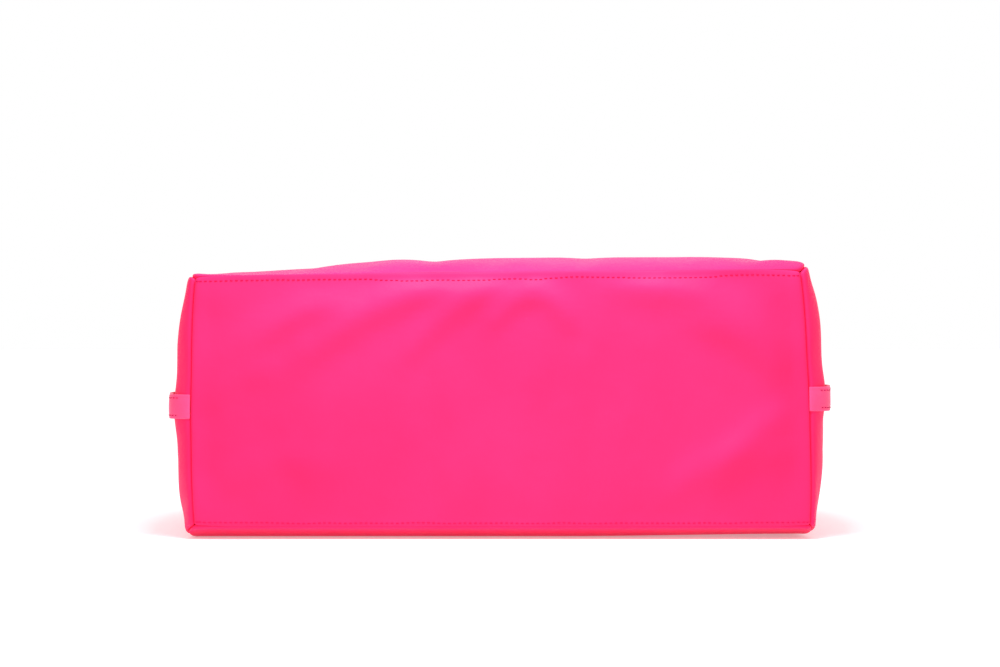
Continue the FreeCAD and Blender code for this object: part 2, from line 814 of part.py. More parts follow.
def zip_teeth(name, side):
    """One row of teeth on its bead. The rows mesh half a pitch apart."""
    body = new_body(name)
    bead = new_sketch(body, "bead", "XY_Plane", TAPE_TOP)
    half = "Sizes.chain_long / 2"
    near = "%s + %d * Sizes.bead_near" % (CHAIN_AT, side)
    far = "%s + %d * Sizes.bead_far" % (CHAIN_AT, side)
    rows = (near, far) if side > 0 else (far, near)
    outline(
        bead,
        [
            ("-%s" % half, rows[0], None),
            (half, rows[0], None),
            (half, rows[1], None),
            ("-%s" % half, rows[1], None),
        ],
    )
    pad(body, bead, "0.6 * Sizes.tooth_high", middle=False)
    tooth = new_sketch(body, "tooth", "XY_Plane", TAPE_TOP)
    shift = "0" if side > 0 else "(Sizes.tooth_pitch / 2)"
    tip = "%s - %d * Sizes.tooth_tip" % (CHAIN_AT, side)
    root = "%s + %d * Sizes.tooth_root" % (CHAIN_AT, side)
    ends = (tip, root) if side > 0 else (root, tip)
    left = "-%s + Sizes.row_start + %s" % (half, shift)
    outline(
        tooth,
        [
            (left, ends[0], None),
            ("%s + Sizes.tooth_wide" % left, ends[0], None),
            ("%s + Sizes.tooth_wide" % left, ends[1], None),
            (left, ends[1], None),
        ],
    )
    one = pad(body, tooth, cell("tooth_high"), middle=False)
    doc.recompute()
    row = body.newObject("PartDesign::LinearPattern", name + "_row")
    row.Originals = [one]
    row.Direction = (tooth, ["H_Axis"])
    count = int((value("Sizes.chain_long") - 5) // value("Sizes.tooth_pitch")) + 1
    row.Occurrences = count
    row.Length = (count - 1) * value("Sizes.tooth_pitch")
    row.setExpression("Length", "%d * Sizes.tooth_pitch" % (count - 1))
    body.Tip = row


PIN_UP = "(%s + Sizes.pin_up)" % TEETH_TOP


def pocket_zip_slider():
    """A slider over the chain: a plate with two flanges, and a bridge for the pull."""
    body = new_body("pocket_zip_slider")
    profile = new_sketch(body, "channel", "YZ_Plane")
    near = "%s - Sizes.slider_wide / 2" % CHAIN_AT
    far = "%s + Sizes.slider_wide / 2" % CHAIN_AT
    low = "%s + Sizes.slider_fit" % TAPE_TOP
    under = "%s + Sizes.slider_fit" % TEETH_TOP
    top = "%s + Sizes.slider_top" % TEETH_TOP
    outline(
        profile,
        [
            (near, low, None),
            (near + " + Sizes.flange", low, None),
            (near + " + Sizes.flange", under, None),
            (far + " - Sizes.flange", under, None),
            (far + " - Sizes.flange", low, None),
            (far, low, None),
            (far, top, None),
            (near, top, None),
        ],
    )
    pad(body, profile, cell("slider_long"))
    doc.recompute()
    bridge = new_sketch(body, "bridge", "XZ_Plane", "-%s" % CHAIN_AT)
    foot = "%s + Sizes.slider_top - Sizes.slider_fit" % TEETH_TOP
    gap_top = "%s + Sizes.bridge_room" % PIN_UP
    crown = "%s + Sizes.bridge_over" % PIN_UP
    outside = "Sizes.bridge_half"
    inside = "(Sizes.bridge_half - Sizes.bridge_leg)"
    outline(
        bridge,
        [
            ("-" + outside, foot, None),
            ("-" + inside, foot, None),
            ("-" + inside, gap_top, None),
            (inside, gap_top, None),
            (inside, foot, None),
            (outside, foot, None),
            (outside, crown, None),
            ("-" + outside, crown, None),
        ],
    )
    pad(body, bridge, cell("bridge_wide"))
    body.Placement = Placement(Vector(value("Sizes.slider_at"), 0, 0), Rotation())


def pocket_zip_pull():
    """A flat pull: two arms with a round pin through the slider's bridge, and a tab."""
    body = new_body("pocket_zip_pull")
    sketch = new_sketch(body, "outline", "XY_Plane")
    half = "Sizes.pull_wide / 2"
    outline(
        sketch,
        [
            ("0", "-Sizes.neck_half", None),
            ("Sizes.neck_end", "-Sizes.neck_half", None),
            ("Sizes.blade_start", "-%s" % half, None),
            ("Sizes.pull_long", "-%s" % half, "Sizes.pull_wide / 4"),
            ("Sizes.pull_long", half, None),
            ("Sizes.blade_start", half, None),
            ("Sizes.neck_end", "Sizes.neck_half", None),
            ("0", "Sizes.neck_half", None),
            ("0", "Sizes.fork_half", None),
            ("Sizes.fork_long", "Sizes.fork_half", None),
            ("Sizes.fork_long", "-Sizes.fork_half", None),
            ("0", "-Sizes.fork_half", None),
        ],
    )
    pad(body, sketch, cell("pull_thick"))
    doc.recompute()
    pin = new_sketch(body, "pin", "XZ_Plane")
    circle(pin, "0", "0", "Sizes.pin_thick / 2")
    pad(body, pin, "2 * Sizes.neck_half")
    place = Vector(value("Sizes.slider_at"), value(CHAIN_AT), value(PIN_UP))
    body.Placement = Placement(place, Rotation())


def pocket_zip_end_stops():
    """A crimped stop past each end of the chain."""
    stops = []
    for number, side in enumerate((-1, 1)):
        edge = "Sizes.chain_long / 2 + Sizes.stop_gap"
        if side < 0:
            edge = "-(%s + Sizes.stop_long)" % edge
        low = (edge, "%s - Sizes.stop_wide / 2" % CHAIN_AT, TAPE_TOP)
        size = (cell("stop_long"), cell("stop_wide"), "1.2 * Sizes.tooth_high")
        stops.append(plate("stop%d" % number, *size, low))
    group = doc.addObject("Part::Compound", "Group_stops")
    group.Links = stops
    add_part(group, "pocket_zip_end_stops")


# ---------------------------------------------------------------- magnetic snap


def facing_place(which):
    """The middle of the facing's inside face at the snap, with its slope."""
    inset = value("Sizes.cloth + Sizes.inset_gap + Sizes.facing_cloth")
    share = (value("Sizes.snap_at") - value(ring(LAST - 1, "at"))) / (
        value(ring(LAST, "at")) - value(ring(LAST - 1, "at"))
    )
    ends = []
    for number in (LAST - 1, LAST):
        if which == "back":
            ends.append(value(low_up(number)) + inset)
        else:
            ends.append(value(top_up(number)) + value(ring(number, "top_bow")) - inset)
    run = value(ring(LAST, "at")) - value(ring(LAST - 1, "at"))
    slope = math.degrees(math.atan((ends[1] - ends[0]) / run))
    height = ends[0] + (ends[1] - ends[0]) * share
    turn = Rotation(Vector(1, 0, 0), slope)
    if which == "front":
        turn = turn.multiply(Rotation(Vector(1, 0, 0), 180))
    base = Vector(0, value("Sizes.snap_at"), height)
    return Placement(base + turn.multVec(Vector(0, 0, 0.3)), turn)


def snap_half(name, which):
    """Half of a magnetic snap: a disc, with a stud on one half and a dimple in the other."""
    body = new_body(name)
    sketch = new_sketch(body, "disc", "XY_Plane")
    circle(sketch, "0", "0", "Sizes.snap_wide / 2")
    pad(body, sketch, cell("snap_thick"), middle=False)
    doc.recompute()
    detail = new_sketch(body, "detail", "XY_Plane", cell("snap_thick"))
    circle(detail, "0", "0", "Sizes.snap_wide / 6")
    if which == "back":
        pad(body, detail, "0.6 * Sizes.snap_thick", middle=False)
    else:
        cut_through(body, detail, "Sizes.snap_thick")
    body.Placement = facing_place(which)


# ---------------------------------------------------------------- build and write


def build():
    back_panel()
    front_panel()
    gusset("left_gusset", -1)
    gusset("right_gusset", 1)
    base_panel()
    base_foam_pad()
    rim_facing()
    lining_bag()
    for word, side in HANDLE_SIDES:
        up = cell(word + "_strap_up")
        side_strap(word + "_side_strap", side, up)
        middle = dee_ring(word + "_dee_ring", side, up)
        print(word, "dee ring pivot", middle)
        strap_rivet(word + "_strap_rivet", side, up)
    for which in ("front", "back"):
        handle(which, which + "_handle")
        for word, side in HANDLE_SIDES:
            handle_tab(which, "%s_handle_tab_%s" % (which, word), side)
            handle_ring(which, "%s_handle_ring_%s" % (which, word), side)
        print(which, "handle pivot", pivot(which), "at rest", round(handle_turn(which), 2))
    tab_rivets()
    pocket_pouch()
    pocket_zip_tape()
    pocket_welt()
    zip_teeth("pocket_zip_teeth_upper", 1)
    zip_teeth("pocket_zip_teeth_lower", -1)
    pocket_zip_slider()
    pocket_zip_pull()
    pocket_zip_end_stops()
    snap_half("magnet_snap_socket", "front")
    snap_half("magnet_snap_stud", "back")
    print("pull pivot", value("Sizes.slider_at"), value(CHAIN_AT), value(PIN_UP))


def check():
    """Stop if any object failed, or any sub-part is missing or not a valid solid."""
    doc.recompute()
    for thing in doc.Objects:
        if "Invalid" in thing.State or "Error" in thing.State:
            raise RuntimeError("%s failed: %s" % (thing.Label, thing.State))
    for part in PARTS:
        if part.Shape.isNull() or not part.Shape.isValid() or not part.Shape.Solids:
            raise RuntimeError("%s has no valid solid" % part.Label)


def write():
    os.makedirs("parts", exist_ok=True)
    for part in PARTS:
        part.Shape.exportStep("parts/%s.step" % part.Label)
        box = part.Shape.BoundBox
        print(
            "%-24s solids %d  volume %9.0f  x %7.1f %7.1f  y %7.1f %7.1f  z %6.1f %6.1f"
            % (
                part.Label,
                len(part.Shape.Solids),
                part.Shape.Volume,
                box.XMin,
                box.XMax,
                box.YMin,
                box.YMax,
                box.ZMin,
                box.ZMax,
            )
        )


build()
check()
write()
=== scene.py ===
# %% [markdown]
# # A pink beach tote, lying on its back
# The bag is a boxed tote of coated nylon: a stitched base panel, a wide front and back
# panel, two end gussets, leather side straps with D rings, and rolled handles at the open
# rim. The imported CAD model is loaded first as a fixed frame. Every soft piece below is
# sewn round it, in metres, and rides on one of its bodies.

# %% Load the frame
import math

import bmesh
import bpy
from mathutils import Matrix, Vector, noise
from mathutils.bvhtree import BVHTree


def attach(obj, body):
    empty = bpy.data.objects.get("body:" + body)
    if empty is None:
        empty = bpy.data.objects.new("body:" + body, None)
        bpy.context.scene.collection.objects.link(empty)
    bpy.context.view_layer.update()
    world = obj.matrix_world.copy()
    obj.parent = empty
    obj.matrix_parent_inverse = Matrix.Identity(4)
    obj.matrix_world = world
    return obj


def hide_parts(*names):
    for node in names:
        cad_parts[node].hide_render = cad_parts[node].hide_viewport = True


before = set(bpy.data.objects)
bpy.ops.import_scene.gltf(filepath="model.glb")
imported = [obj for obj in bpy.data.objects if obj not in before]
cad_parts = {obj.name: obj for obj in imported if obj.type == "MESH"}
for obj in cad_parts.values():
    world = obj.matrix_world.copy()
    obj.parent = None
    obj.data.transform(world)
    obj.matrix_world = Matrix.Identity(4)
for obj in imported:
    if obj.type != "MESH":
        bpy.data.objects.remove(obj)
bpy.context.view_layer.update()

scene = bpy.context.scene
scene.view_settings.view_transform = "Standard"

# %% [markdown]
# ## Helpers
# Most pieces end the same way: a bmesh becomes a mesh object with smooth faces, a
# material, a body to ride on and the CAD node it stands for. One function does that, so
# each piece's own cell only has to say what shape it is.


# %% Turn a bmesh into a finished piece
def link_mesh(name, shape):
    """Put a bmesh into the scene as a mesh object."""
    mesh = bpy.data.meshes.new(name)
    shape.to_mesh(mesh)
    linked = bpy.data.objects.new(name, mesh)
    scene.collection.objects.link(linked)
    return linked, mesh


def add_modifiers(piece, thickness, levels):
    """Give a sheet its thickness, then round it off."""
    if thickness:
        solidify = piece.modifiers.new("thickness", "SOLIDIFY")
        solidify.thickness = thickness
        solidify.offset = -1
        solidify.use_even_offset = False
    if levels:
        rounding = piece.modifiers.new("rounding", "SUBSURF")
        rounding.levels = levels
        rounding.render_levels = levels


def make_piece(name, shape, material, body="bag", node=None, thickness=0, levels=0):
    """Link a bmesh into the scene as a piece that rides on a body."""
    piece, mesh = link_mesh(name, shape)
    shape.free()
    mesh.shade_smooth()
    mesh.materials.append(material)
    add_modifiers(piece, thickness, levels)
    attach(piece, body)
    if node:
        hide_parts(node)
    print(name, "-", len(mesh.polygons), "faces")
    return piece


def make_cloth(name, shape, material, node, thickness, levels=1):
    """A finished sheet of cloth, sewn to the bag."""
    return make_piece(name, shape, material, "bag", node, thickness, levels)


def surface_of(*pieces):
    """A tree that finds the nearest point on the finished surface of some pieces."""
    bpy.context.view_layer.update()
    graph = bpy.context.evaluated_depsgraph_get()
    corners = []
    faces = []
    for piece in pieces:
        shown = piece.evaluated_get(graph)
        mesh = shown.to_mesh()
        first = len(corners)
        corners.extend(vertex.co.copy() for vertex in mesh.vertices)
        faces.extend([first + index for index in face.vertices] for face in mesh.polygons)
        shown.to_mesh_clear()
    return BVHTree.FromPolygons(corners, faces)


def smooth_step(low, high, amount):
    """0 below low, 1 above high, and an easy S between."""
    share = min(max((amount - low) / (high - low), 0.0), 1.0)
    return share * share * (3 - 2 * share)


# %% [markdown]
# ## Cloth, leather, thread and metal
# The bag is one loud pink in four finishes. Coated nylon is a fine plain weave under a
# satin film, so it gets two crossed waves as bump and a soft gloss. Leather gets a pebbled
# Voronoi grain. The cloth patterns read each panel's own UV map, laid out in metres, so that
# the weave runs along the cloth; the other finishes read the object's own coordinates.
# Numbers that are the same all over sit on the shader itself.


# %% Material helpers
def set_inputs(node, **values):
    """Set inputs by name, with underscores for the spaces in their names."""
    for name, value in values.items():
        node.inputs[name.replace("_", " ")].default_value = value


def start_material(name):
    material = bpy.data.materials.new(name)
    material.use_nodes = True
    nodes = material.node_tree.nodes
    links = material.node_tree.links
    shader = nodes["Principled BSDF"]
    return material, nodes, links, shader


def mottled(nodes, links, shader, coordinates, colours, scale, detail=3.0):
    """A base colour that wanders gently between two shades."""
    cloud = nodes.new("ShaderNodeTexNoise")
    set_inputs(cloud, Scale=scale, Detail=detail)
    ramp = nodes.new("ShaderNodeValToRGB")
    ramp.color_ramp.elements[0].position = 0.35
    ramp.color_ramp.elements[1].position = 0.65
    ramp.color_ramp.elements[0].color = (*colours[0], 1)
    ramp.color_ramp.elements[1].color = (*colours[1], 1)
    links.new(coordinates, cloud.inputs["Vector"])
    links.new(cloud.outputs["Fac"], ramp.inputs["Fac"])
    links.new(ramp.outputs["Color"], shader.inputs["Base Color"])
    return cloud


def add_bump(nodes, links, shader, height, distance, strength=1.0, below=None):
    bump = nodes.new("ShaderNodeBump")
    set_inputs(bump, Strength=strength, Distance=distance)
    links.new(height, bump.inputs["Height"])
    if below is not None:
        links.new(below.outputs["Normal"], bump.inputs["Normal"])
    links.new(bump.outputs["Normal"], shader.inputs["Normal"])
    return bump


WAVES_PER_UNIT = 20 / (2 * math.pi)


def weave(nodes, links, coordinates, pitch):
    """Two crossed sets of waves, one thread apart, as a plain weave."""
    waves = []
    for direction in ("X", "Y"):
        wave = nodes.new("ShaderNodeTexWave")
        wave.bands_direction = direction
        set_inputs(wave, Scale=1 / (WAVES_PER_UNIT * pitch), Distortion=0.6, Detail_Scale=0.5)
        links.new(coordinates, wave.inputs["Vector"])
        waves.append(wave)
    crossed = nodes.new("ShaderNodeMath")
    crossed.operation = "MULTIPLY"
    links.new(waves[0].outputs["Fac"], crossed.inputs[0])
    links.new(waves[1].outputs["Fac"], crossed.inputs[1])
    return crossed.outputs["Value"]


def cloth_material(name, colours, pitch, roughness, sheen, relief):
    """Woven cloth: a weave over a very gentle crinkle."""
    material, nodes, links, shader = start_material(name)
    flat_map = nodes.new("ShaderNodeUVMap")
    flat_map.uv_map = "cloth"
    laid = flat_map.outputs["UV"]
    mottled(nodes, links, shader, laid, colours, 9.0)
    set_inputs(
        shader,
        Roughness=roughness,
        Sheen_Weight=sheen,
        Sheen_Roughness=0.4,
        Specular_IOR_Level=0.04,
        Sheen_Tint=(1.0, 0.62, 0.8, 1),
    )
    crinkle = nodes.new("ShaderNodeTexNoise")
    set_inputs(crinkle, Scale=60.0, Detail=4.0)
    links.new(laid, crinkle.inputs["Vector"])
    under = add_bump(nodes, links, shader, crinkle.outputs["Fac"], 0.0012, 0.35)
    threads = weave(nodes, links, laid, pitch)
    add_bump(nodes, links, shader, threads, relief, 0.6, under)
    return material


def leather_material(name, colours, roughness):
    """Smooth leather with a small pebbled grain."""
    material, nodes, links, shader = start_material(name)
    laid = nodes.new("ShaderNodeTexCoord").outputs["Object"]
    mottled(nodes, links, shader, laid, colours, 30.0)
    set_inputs(shader, Roughness=roughness, Specular_IOR_Level=0.3)
    grain = nodes.new("ShaderNodeTexVoronoi")
    set_inputs(grain, Scale=900.0)
    links.new(laid, grain.inputs["Vector"])
    add_bump(nodes, links, shader, grain.outputs["Distance"], 0.00025, 0.5)
    return material


# %% The materials
NYLON_SHADES = ((0.88, 0.0170, 0.105), (0.91, 0.0202, 0.119))
nylon = cloth_material("coated_nylon", NYLON_SHADES, 0.0009, 0.42, 0.02, 0.00008)
facing_cloth = cloth_material("rim_facing_cloth", NYLON_SHADES, 0.0009, 0.5, 0.02, 0.0001)
LINING_SHADES = ((0.80, 0.060, 0.17), (0.88, 0.085, 0.22))
lining_cloth = cloth_material("woven_lining", LINING_SHADES, 0.0007, 0.7, 0.3, 0.00015)
TAPE_SHADES = ((0.62, 0.015, 0.09), (0.72, 0.022, 0.12))
tape_cloth = cloth_material("zip_tape_cloth", TAPE_SHADES, 0.0012, 0.75, 0.2, 0.0003)
leather = leather_material("pink_leather", ((0.88, 0.037, 0.150), (0.93, 0.049, 0.180)), 0.45)


def thread_material():
    """Polyester thread, darker than the cloth, with its twist as bump. Part of that darkness is
    painted shade standing in for the shadowed holes the stitches sink into.
    """
    material, nodes, links, shader = start_material("sewing_thread_painted_shade")
    laid = nodes.new("ShaderNodeTexCoord").outputs["Object"]
    # Deep red thread: partly its own colour, and partly painted shade for the stitch holes and
    # grooves.
    shades = ((0.40, 0.003, 0.060), (0.47, 0.005, 0.075))
    mottled(nodes, links, shader, laid, shades, 400.0)
    set_inputs(shader, Roughness=0.6, Specular_IOR_Level=0.05)
    twist = nodes.new("ShaderNodeTexWave")
    twist.bands_direction = "DIAGONAL"
    set_inputs(twist, Scale=700.0)
    links.new(laid, twist.inputs["Vector"])
    add_bump(nodes, links, shader, twist.outputs["Fac"], 0.00008, 0.6)
    return material


def metal_material(name, colour, roughness):
    """Plated metal with faint handling marks in its roughness."""
    material, nodes, links, shader = start_material(name)
    laid = nodes.new("ShaderNodeTexCoord").outputs["Object"]
    smear = nodes.new("ShaderNodeTexNoise")
    set_inputs(smear, Scale=240.0)
    spread = nodes.new("ShaderNodeMapRange")
    set_inputs(spread, To_Min=roughness * 0.6, To_Max=roughness * 1.5)
    links.new(laid, smear.inputs["Vector"])
    links.new(smear.outputs["Fac"], spread.inputs["Value"])
    links.new(spread.outputs["Result"], shader.inputs["Roughness"])
    set_inputs(shader, Base_Color=(*colour, 1), Metallic=1.0)
    add_bump(nodes, links, shader, smear.outputs["Fac"], 0.00003, 0.4)
    return material


def plastic_material():
    """Moulded zip teeth."""
    material, nodes, links, shader = start_material("zip_teeth_plastic")
    laid = nodes.new("ShaderNodeTexCoord").outputs["Object"]
    shades = ((0.70, 0.02, 0.10), (0.80, 0.03, 0.14))
    mottled(nodes, links, shader, laid, shades, 150.0)
    set_inputs(shader, Roughness=0.35)
    return material


thread = thread_material()
nickel = metal_material("polished_nickel", (0.70, 0.68, 0.65), 0.16)
plastic = plastic_material()
print("materials", [material.name for material in bpy.data.materials])

# %% [markdown]
# ## The shell
# The sewn shell starts as one box with its mouth open, cut into a grid and bent to the
# bag's sections. The cloth simulation then works on the whole shell at once, with the
# seams, the rim and the strap pinned, so the panels between them belly out and wrinkle as
# cloth held along its seams does. Only afterwards is it cut apart into the five panels.

# %% Sizes of the shell, in metres
# Each ring is where it is along the bag, how high its low seam is, the half width and
# height of its top seam, and how far its gussets and its front panel bow out.
HALF_LONG = 0.165
LEAN = math.tan(math.radians(5))
LOW_HALF = 0.240
HALF_DEEP = 0.100
CELL = 0.0082
EDGE_CELL = 0.005
RINGS = (
    (-0.165, 0.0095, 0.2345, 0.2062, 0.003, 0.0005),
    (-0.140, 0.000, 0.237, 0.2075, 0.0125, 0.0075),
    (-0.060, 0.000, 0.238, 0.2075, 0.026, 0.0110),
    (0.050, 0.000, 0.239, 0.202, 0.022, 0.008),
    (0.100, 0.0045, 0.240, 0.194, 0.014, 0.002),
    (0.165, 0.010, 0.240, 0.188, 0.008, -0.005),
)
STRAP_UP = {-1: 0.102, 1: 0.108}
STRAP_HALF = 0.0095
SIDES = (("left", -1), ("right", 1))
TAB_AT = 0.085
TAB_START = 0.115
TAB_HALF = 0.011
PANELS = {"base_panel": 0, "front_panel": 1, "back_panel": 2, "left_gusset": 3, "right_gusset": 4}


def ring_at(place):
    """The shell's sizes at a place along the bag, between its rings."""
    for near, far in zip(RINGS, RINGS[1:]):
        if place <= far[0]:
            break
    share = min(max((place - near[0]) / (far[0] - near[0]), 0.0), 1.0)
    return [a + (b - a) * share for a, b in zip(near[1:], far[1:])]


GUSSET_SHARE = 0.84
CORNER_LIFT = 0.0032
LOW_LIFT = 0.0020
LIP = 0.0033
LOW_PINCH = 0.0035
TOP_TILT = 0.0023
LEFT_REACH = 0.0035


def crown(across):
    """How full the front panel is across the bag: it droops towards its left end."""
    if across < 0:
        return smooth_step(-0.88, -0.26, across)
    return 1 - 0.55 * across**6 - 0.45 * across**24


def shell_point(across, along, up):
    """A point of the shell. across is -1 to 1, along is 0 at the base and 1 at the rim, and
    up is 0 at the back panel and 1 at the front panel."""
    start = -HALF_LONG + up * RINGS[0][3] * LEAN
    place = start + along * (HALF_LONG - start)
    second = RINGS[1][0]
    level = place
    if place < second:
        level = -HALF_LONG + (place - start) / (second - start) * (second + HALF_LONG)
    low_up, top_half, top_up, side_bow, top_bow = ring_at(level)
    fullness = 1 - abs(2 * up - 1) ** 3.5
    height = low_up + (top_up - low_up) * up
    under_strap = math.exp(-(((height - STRAP_UP[1 if across > 0 else -1]) / 0.020) ** 2))
    fullness *= GUSSET_SHARE + (1 - GUSSET_SHARE) * under_strap
    half = LOW_HALF + (top_half - LOW_HALF) * up + side_bow * fullness
    past = place - start
    half += LIP * smooth_step(0, 0.010, past) * smooth_step(0.045, 0.012, past)
    half -= LOW_PINCH * (1 - up) * max(-across, 0) * smooth_step(0.012, 0, past)
    half += LEFT_REACH * up * max(-across, 0) * smooth_step(0.03, 0, past)
    settle = smooth_step(0.6, 1.0, along)
    rounded = crown(across) * (1 - settle) + (1 - across * across) * settle
    tilt = TOP_TILT * across * smooth_step(0.050, -0.140, place)
    corner = smooth_step(0.80, 0.97, across) * smooth_step(0.060, 0.020, past)
    high = top_up + top_bow * rounded + tilt + CORNER_LIFT * corner * smooth_step(0, 0.010, past)
    low_up += LOW_LIFT * smooth_step(0.2, 1, across) * smooth_step(0, 0.02, past) * (
        smooth_step(0.16, 0.06, past)
    )
    return Vector((across * half, place, low_up + (high - low_up) * up))


# %% The grid
def even_cuts(half, step, edge):
    """Places to cut a side that runs from -half to half: one close to each end, where a
    seam will be turned in, and the rest evenly spaced."""
    count = round(2 * (half - edge) / step)
    inner = [-half + edge + 2 * (half - edge) * k / count for k in range(count + 1)]
    return [place / half for place in inner]


def cut_through(shape, normal, place, **clear):
    """Cut a shape with a plane, and clear away one side of it if asked."""
    everything = shape.verts[:] + shape.edges[:] + shape.faces[:]
    bmesh.ops.bisect_plane(
        shape, geom=everything, dist=1e-6, plane_co=normal * place, plane_no=normal, **clear
    )


def cut_grid(shape, axis, places):
    """Cut a box right through at each place along an axis."""
    normal = Vector((0, 0, 0))
    normal[axis] = 1
    for place in places:
        cut_through(shape, normal, place)


def mark_panels(shape):
    """Write on each face which panel it belongs to."""
    panel = shape.faces.layers.int.new("panel")
    for face in shape.faces:
        normal = face.normal
        if normal.y < -0.5:
            face[panel] = PANELS["base_panel"]
        elif abs(normal.z) > 0.5:
            face[panel] = PANELS["front_panel" if normal.z > 0 else "back_panel"]
        else:
            face[panel] = PANELS["right_gusset" if normal.x > 0 else "left_gusset"]


def lay_cloth(shape):
    """Lay each panel out flat in a UV map, in metres, before the shell is bent."""
    panel = shape.faces.layers.int["panel"]
    cloth = shape.loops.layers.uv.new("cloth")
    for face in shape.faces:
        for corner in face.loops:
            across, along, up = corner.vert.co
            spot = Vector((across * LOW_HALF, along * HALF_LONG, up * HALF_DEEP))
            if face[panel] == PANELS["base_panel"]:
                corner[cloth].uv = (spot.x, spot.z)
            elif face[panel] in (PANELS["front_panel"], PANELS["back_panel"]):
                corner[cloth].uv = (spot.x, spot.y)
            else:
                corner[cloth].uv = (spot.z, spot.y)


def make_shell_grid():
    """The open box, cut into cells about 8 mm across and bent to the bag's sections."""
    shape = bmesh.new()
    bmesh.ops.create_cube(shape, size=2.0)
    mouth = [face for face in shape.faces if face.normal.y > 0.5]
    bmesh.ops.delete(shape, geom=mouth, context="FACES")
    mark_panels(shape)
    for axis, half in enumerate((LOW_HALF, HALF_LONG, HALF_DEEP)):
        cut_grid(shape, axis, even_cuts(half, CELL, EDGE_CELL))
    lay_cloth(shape)
    shape.edges.layers.float.new("crease_edge")
    unit = shape.verts.layers.float_vector.new("unit")
    for vertex in shape.verts:
        vertex[unit] = vertex.co.copy()
        across, along, up = vertex.co
        vertex.co = shell_point(across, (along + 1) / 2, (up + 1) / 2)
    return shape


shell = make_shell_grid()
print("shell grid", len(shell.verts), "points")

# %% [markdown]
# ## Letting the cloth settle
# A little more cloth than the frame needs, and a little pressure from the padding and the
# air inside, give the bag its soft, slightly slack look. The pins hold what is sewn down:
# the seams, the rim, the cloth under the straps and the tabs, and most of the back panel,
# which lies on the floor.


# %% Pins and extra cloth
def on_seam(place):
    """True where two panels meet, in the box's own coordinates."""
    return sum(abs(abs(amount) - 1) < 1e-4 for amount in place) >= 2


def under_tab(spot):
    """True under a handle tab, and for a little way round it."""
    return abs(abs(spot.x) - TAB_AT) < TAB_HALF + 0.006 and spot.y > TAB_START - 0.010


def pin_weight(place, spot):
    """How firmly a point of the shell is held."""
    if on_seam(place) or place.y > 0.96:
        return 1.0
    if place.z > 0.999 and under_tab(spot):
        return 1.0
    if abs(abs(place.x) - 1) < 1e-4:
        strap = STRAP_UP[1 if place.x > 0 else -1]
        if abs(spot.z - strap) < STRAP_HALF + 0.004:
            return 1.0
    if place.z < -0.999:
        return 1.0 if place.y > -0.8 else 0.6
    return 0.0


def tautness(place):
    """1 where the cloth is cut to size, and 0 where it has the most to spare."""
    if place.y < -0.999:
        return 0.2
    if place.z < -0.999:
        return 1.0
    return 0.0


def spread_out(shape, moves, rounds):
    """Average each point's move with its neighbours', again and again."""
    shape.verts.ensure_lookup_table()
    beside = [[edge.other_vert(v).index for edge in v.link_edges] for v in shape.verts]
    for _ in range(rounds):
        moves = [
            (move + sum((moves[k] for k in near), Vector())) / (len(near) + 1)
            for move, near in zip(moves, beside)
        ]
    return moves


def settle_cloth(shape, frames=26, broad_share=0.12, most=0.006):
    """Run the cloth on the whole shell. The stuffing inside holds back most of the broad
    swell, so each point keeps a share of that and three quarters of its wrinkles, and no
    unpinned point moves further than most."""
    unit = shape.verts.layers.float_vector["unit"]
    cloth, mesh = link_mesh("settling", shape)
    pins = cloth.vertex_groups.new(name="pins")
    taut = cloth.vertex_groups.new(name="taut")
    for index, vertex in enumerate(shape.verts):
        pins.add([index], pin_weight(vertex[unit], vertex.co), "REPLACE")
        taut.add([index], tautness(vertex[unit]), "REPLACE")
    modifier = cloth.modifiers.new("cloth", "CLOTH")
    cut = modifier.settings
    cut.quality = 6
    cut.mass = 0.25
    cut.tension_stiffness = 25
    cut.compression_stiffness = 25
    cut.shear_stiffness = 12
    cut.bending_stiffness = 0.5
    cut.vertex_group_mass = "pins"
    cut.vertex_group_shrink = "taut"
    cut.shrink_max = 0.0
    cut.shrink_min = -0.014
    cut.use_pressure = True
    cut.uniform_pressure_force = 3.0
    cut.effector_weights.gravity = 0.0
    modifier.point_cache.frame_start = 1
    modifier.point_cache.frame_end = frames
    for number in range(1, frames + 1):
        scene.frame_set(number)
    graph = bpy.context.evaluated_depsgraph_get()
    settled = [vertex.co.copy() for vertex in cloth.evaluated_get(graph).data.vertices]
    moves = [spot - vertex.co for vertex, spot in zip(shape.verts, settled)]
    furthest = max(move.length for move in moves)
    broad = spread_out(shape, moves, 24)
    for vertex, move, swell in zip(shape.verts, moves, broad):
        move = (move - swell) * 0.75 + swell * broad_share
        if pin_weight(vertex[unit], vertex.co) == 1:
            continue
        if move.length > most:
            move *= most / move.length
        vertex.co += move
    bpy.data.objects.remove(cloth)
    bpy.data.meshes.remove(mesh)
    scene.frame_set(1)
    print("cloth settled, furthest move", round(furthest * 1000, 1), "mm")


def soften(shape, rounds):
    """Ease out the finest wrinkles, leaving the seams where they are."""
    unit = shape.verts.layers.float_vector["unit"]
    loose = [v for v in shape.verts if pin_weight(v[unit], v.co) < 1]
    for _ in range(rounds):
        bmesh.ops.smooth_vert(
            shape, verts=loose, factor=0.5, use_axis_x=True, use_axis_y=True, use_axis_z=True
        )


# %% [markdown]
# Some folds are not left to chance. The base carries long shallow drag lines that run
# down from the top seam and into the lower corners, where the cloth is pulled.

# %% Drag lines on the base
FOLD_HEIGHT = 2.1
FOLD_HALF = 0.099
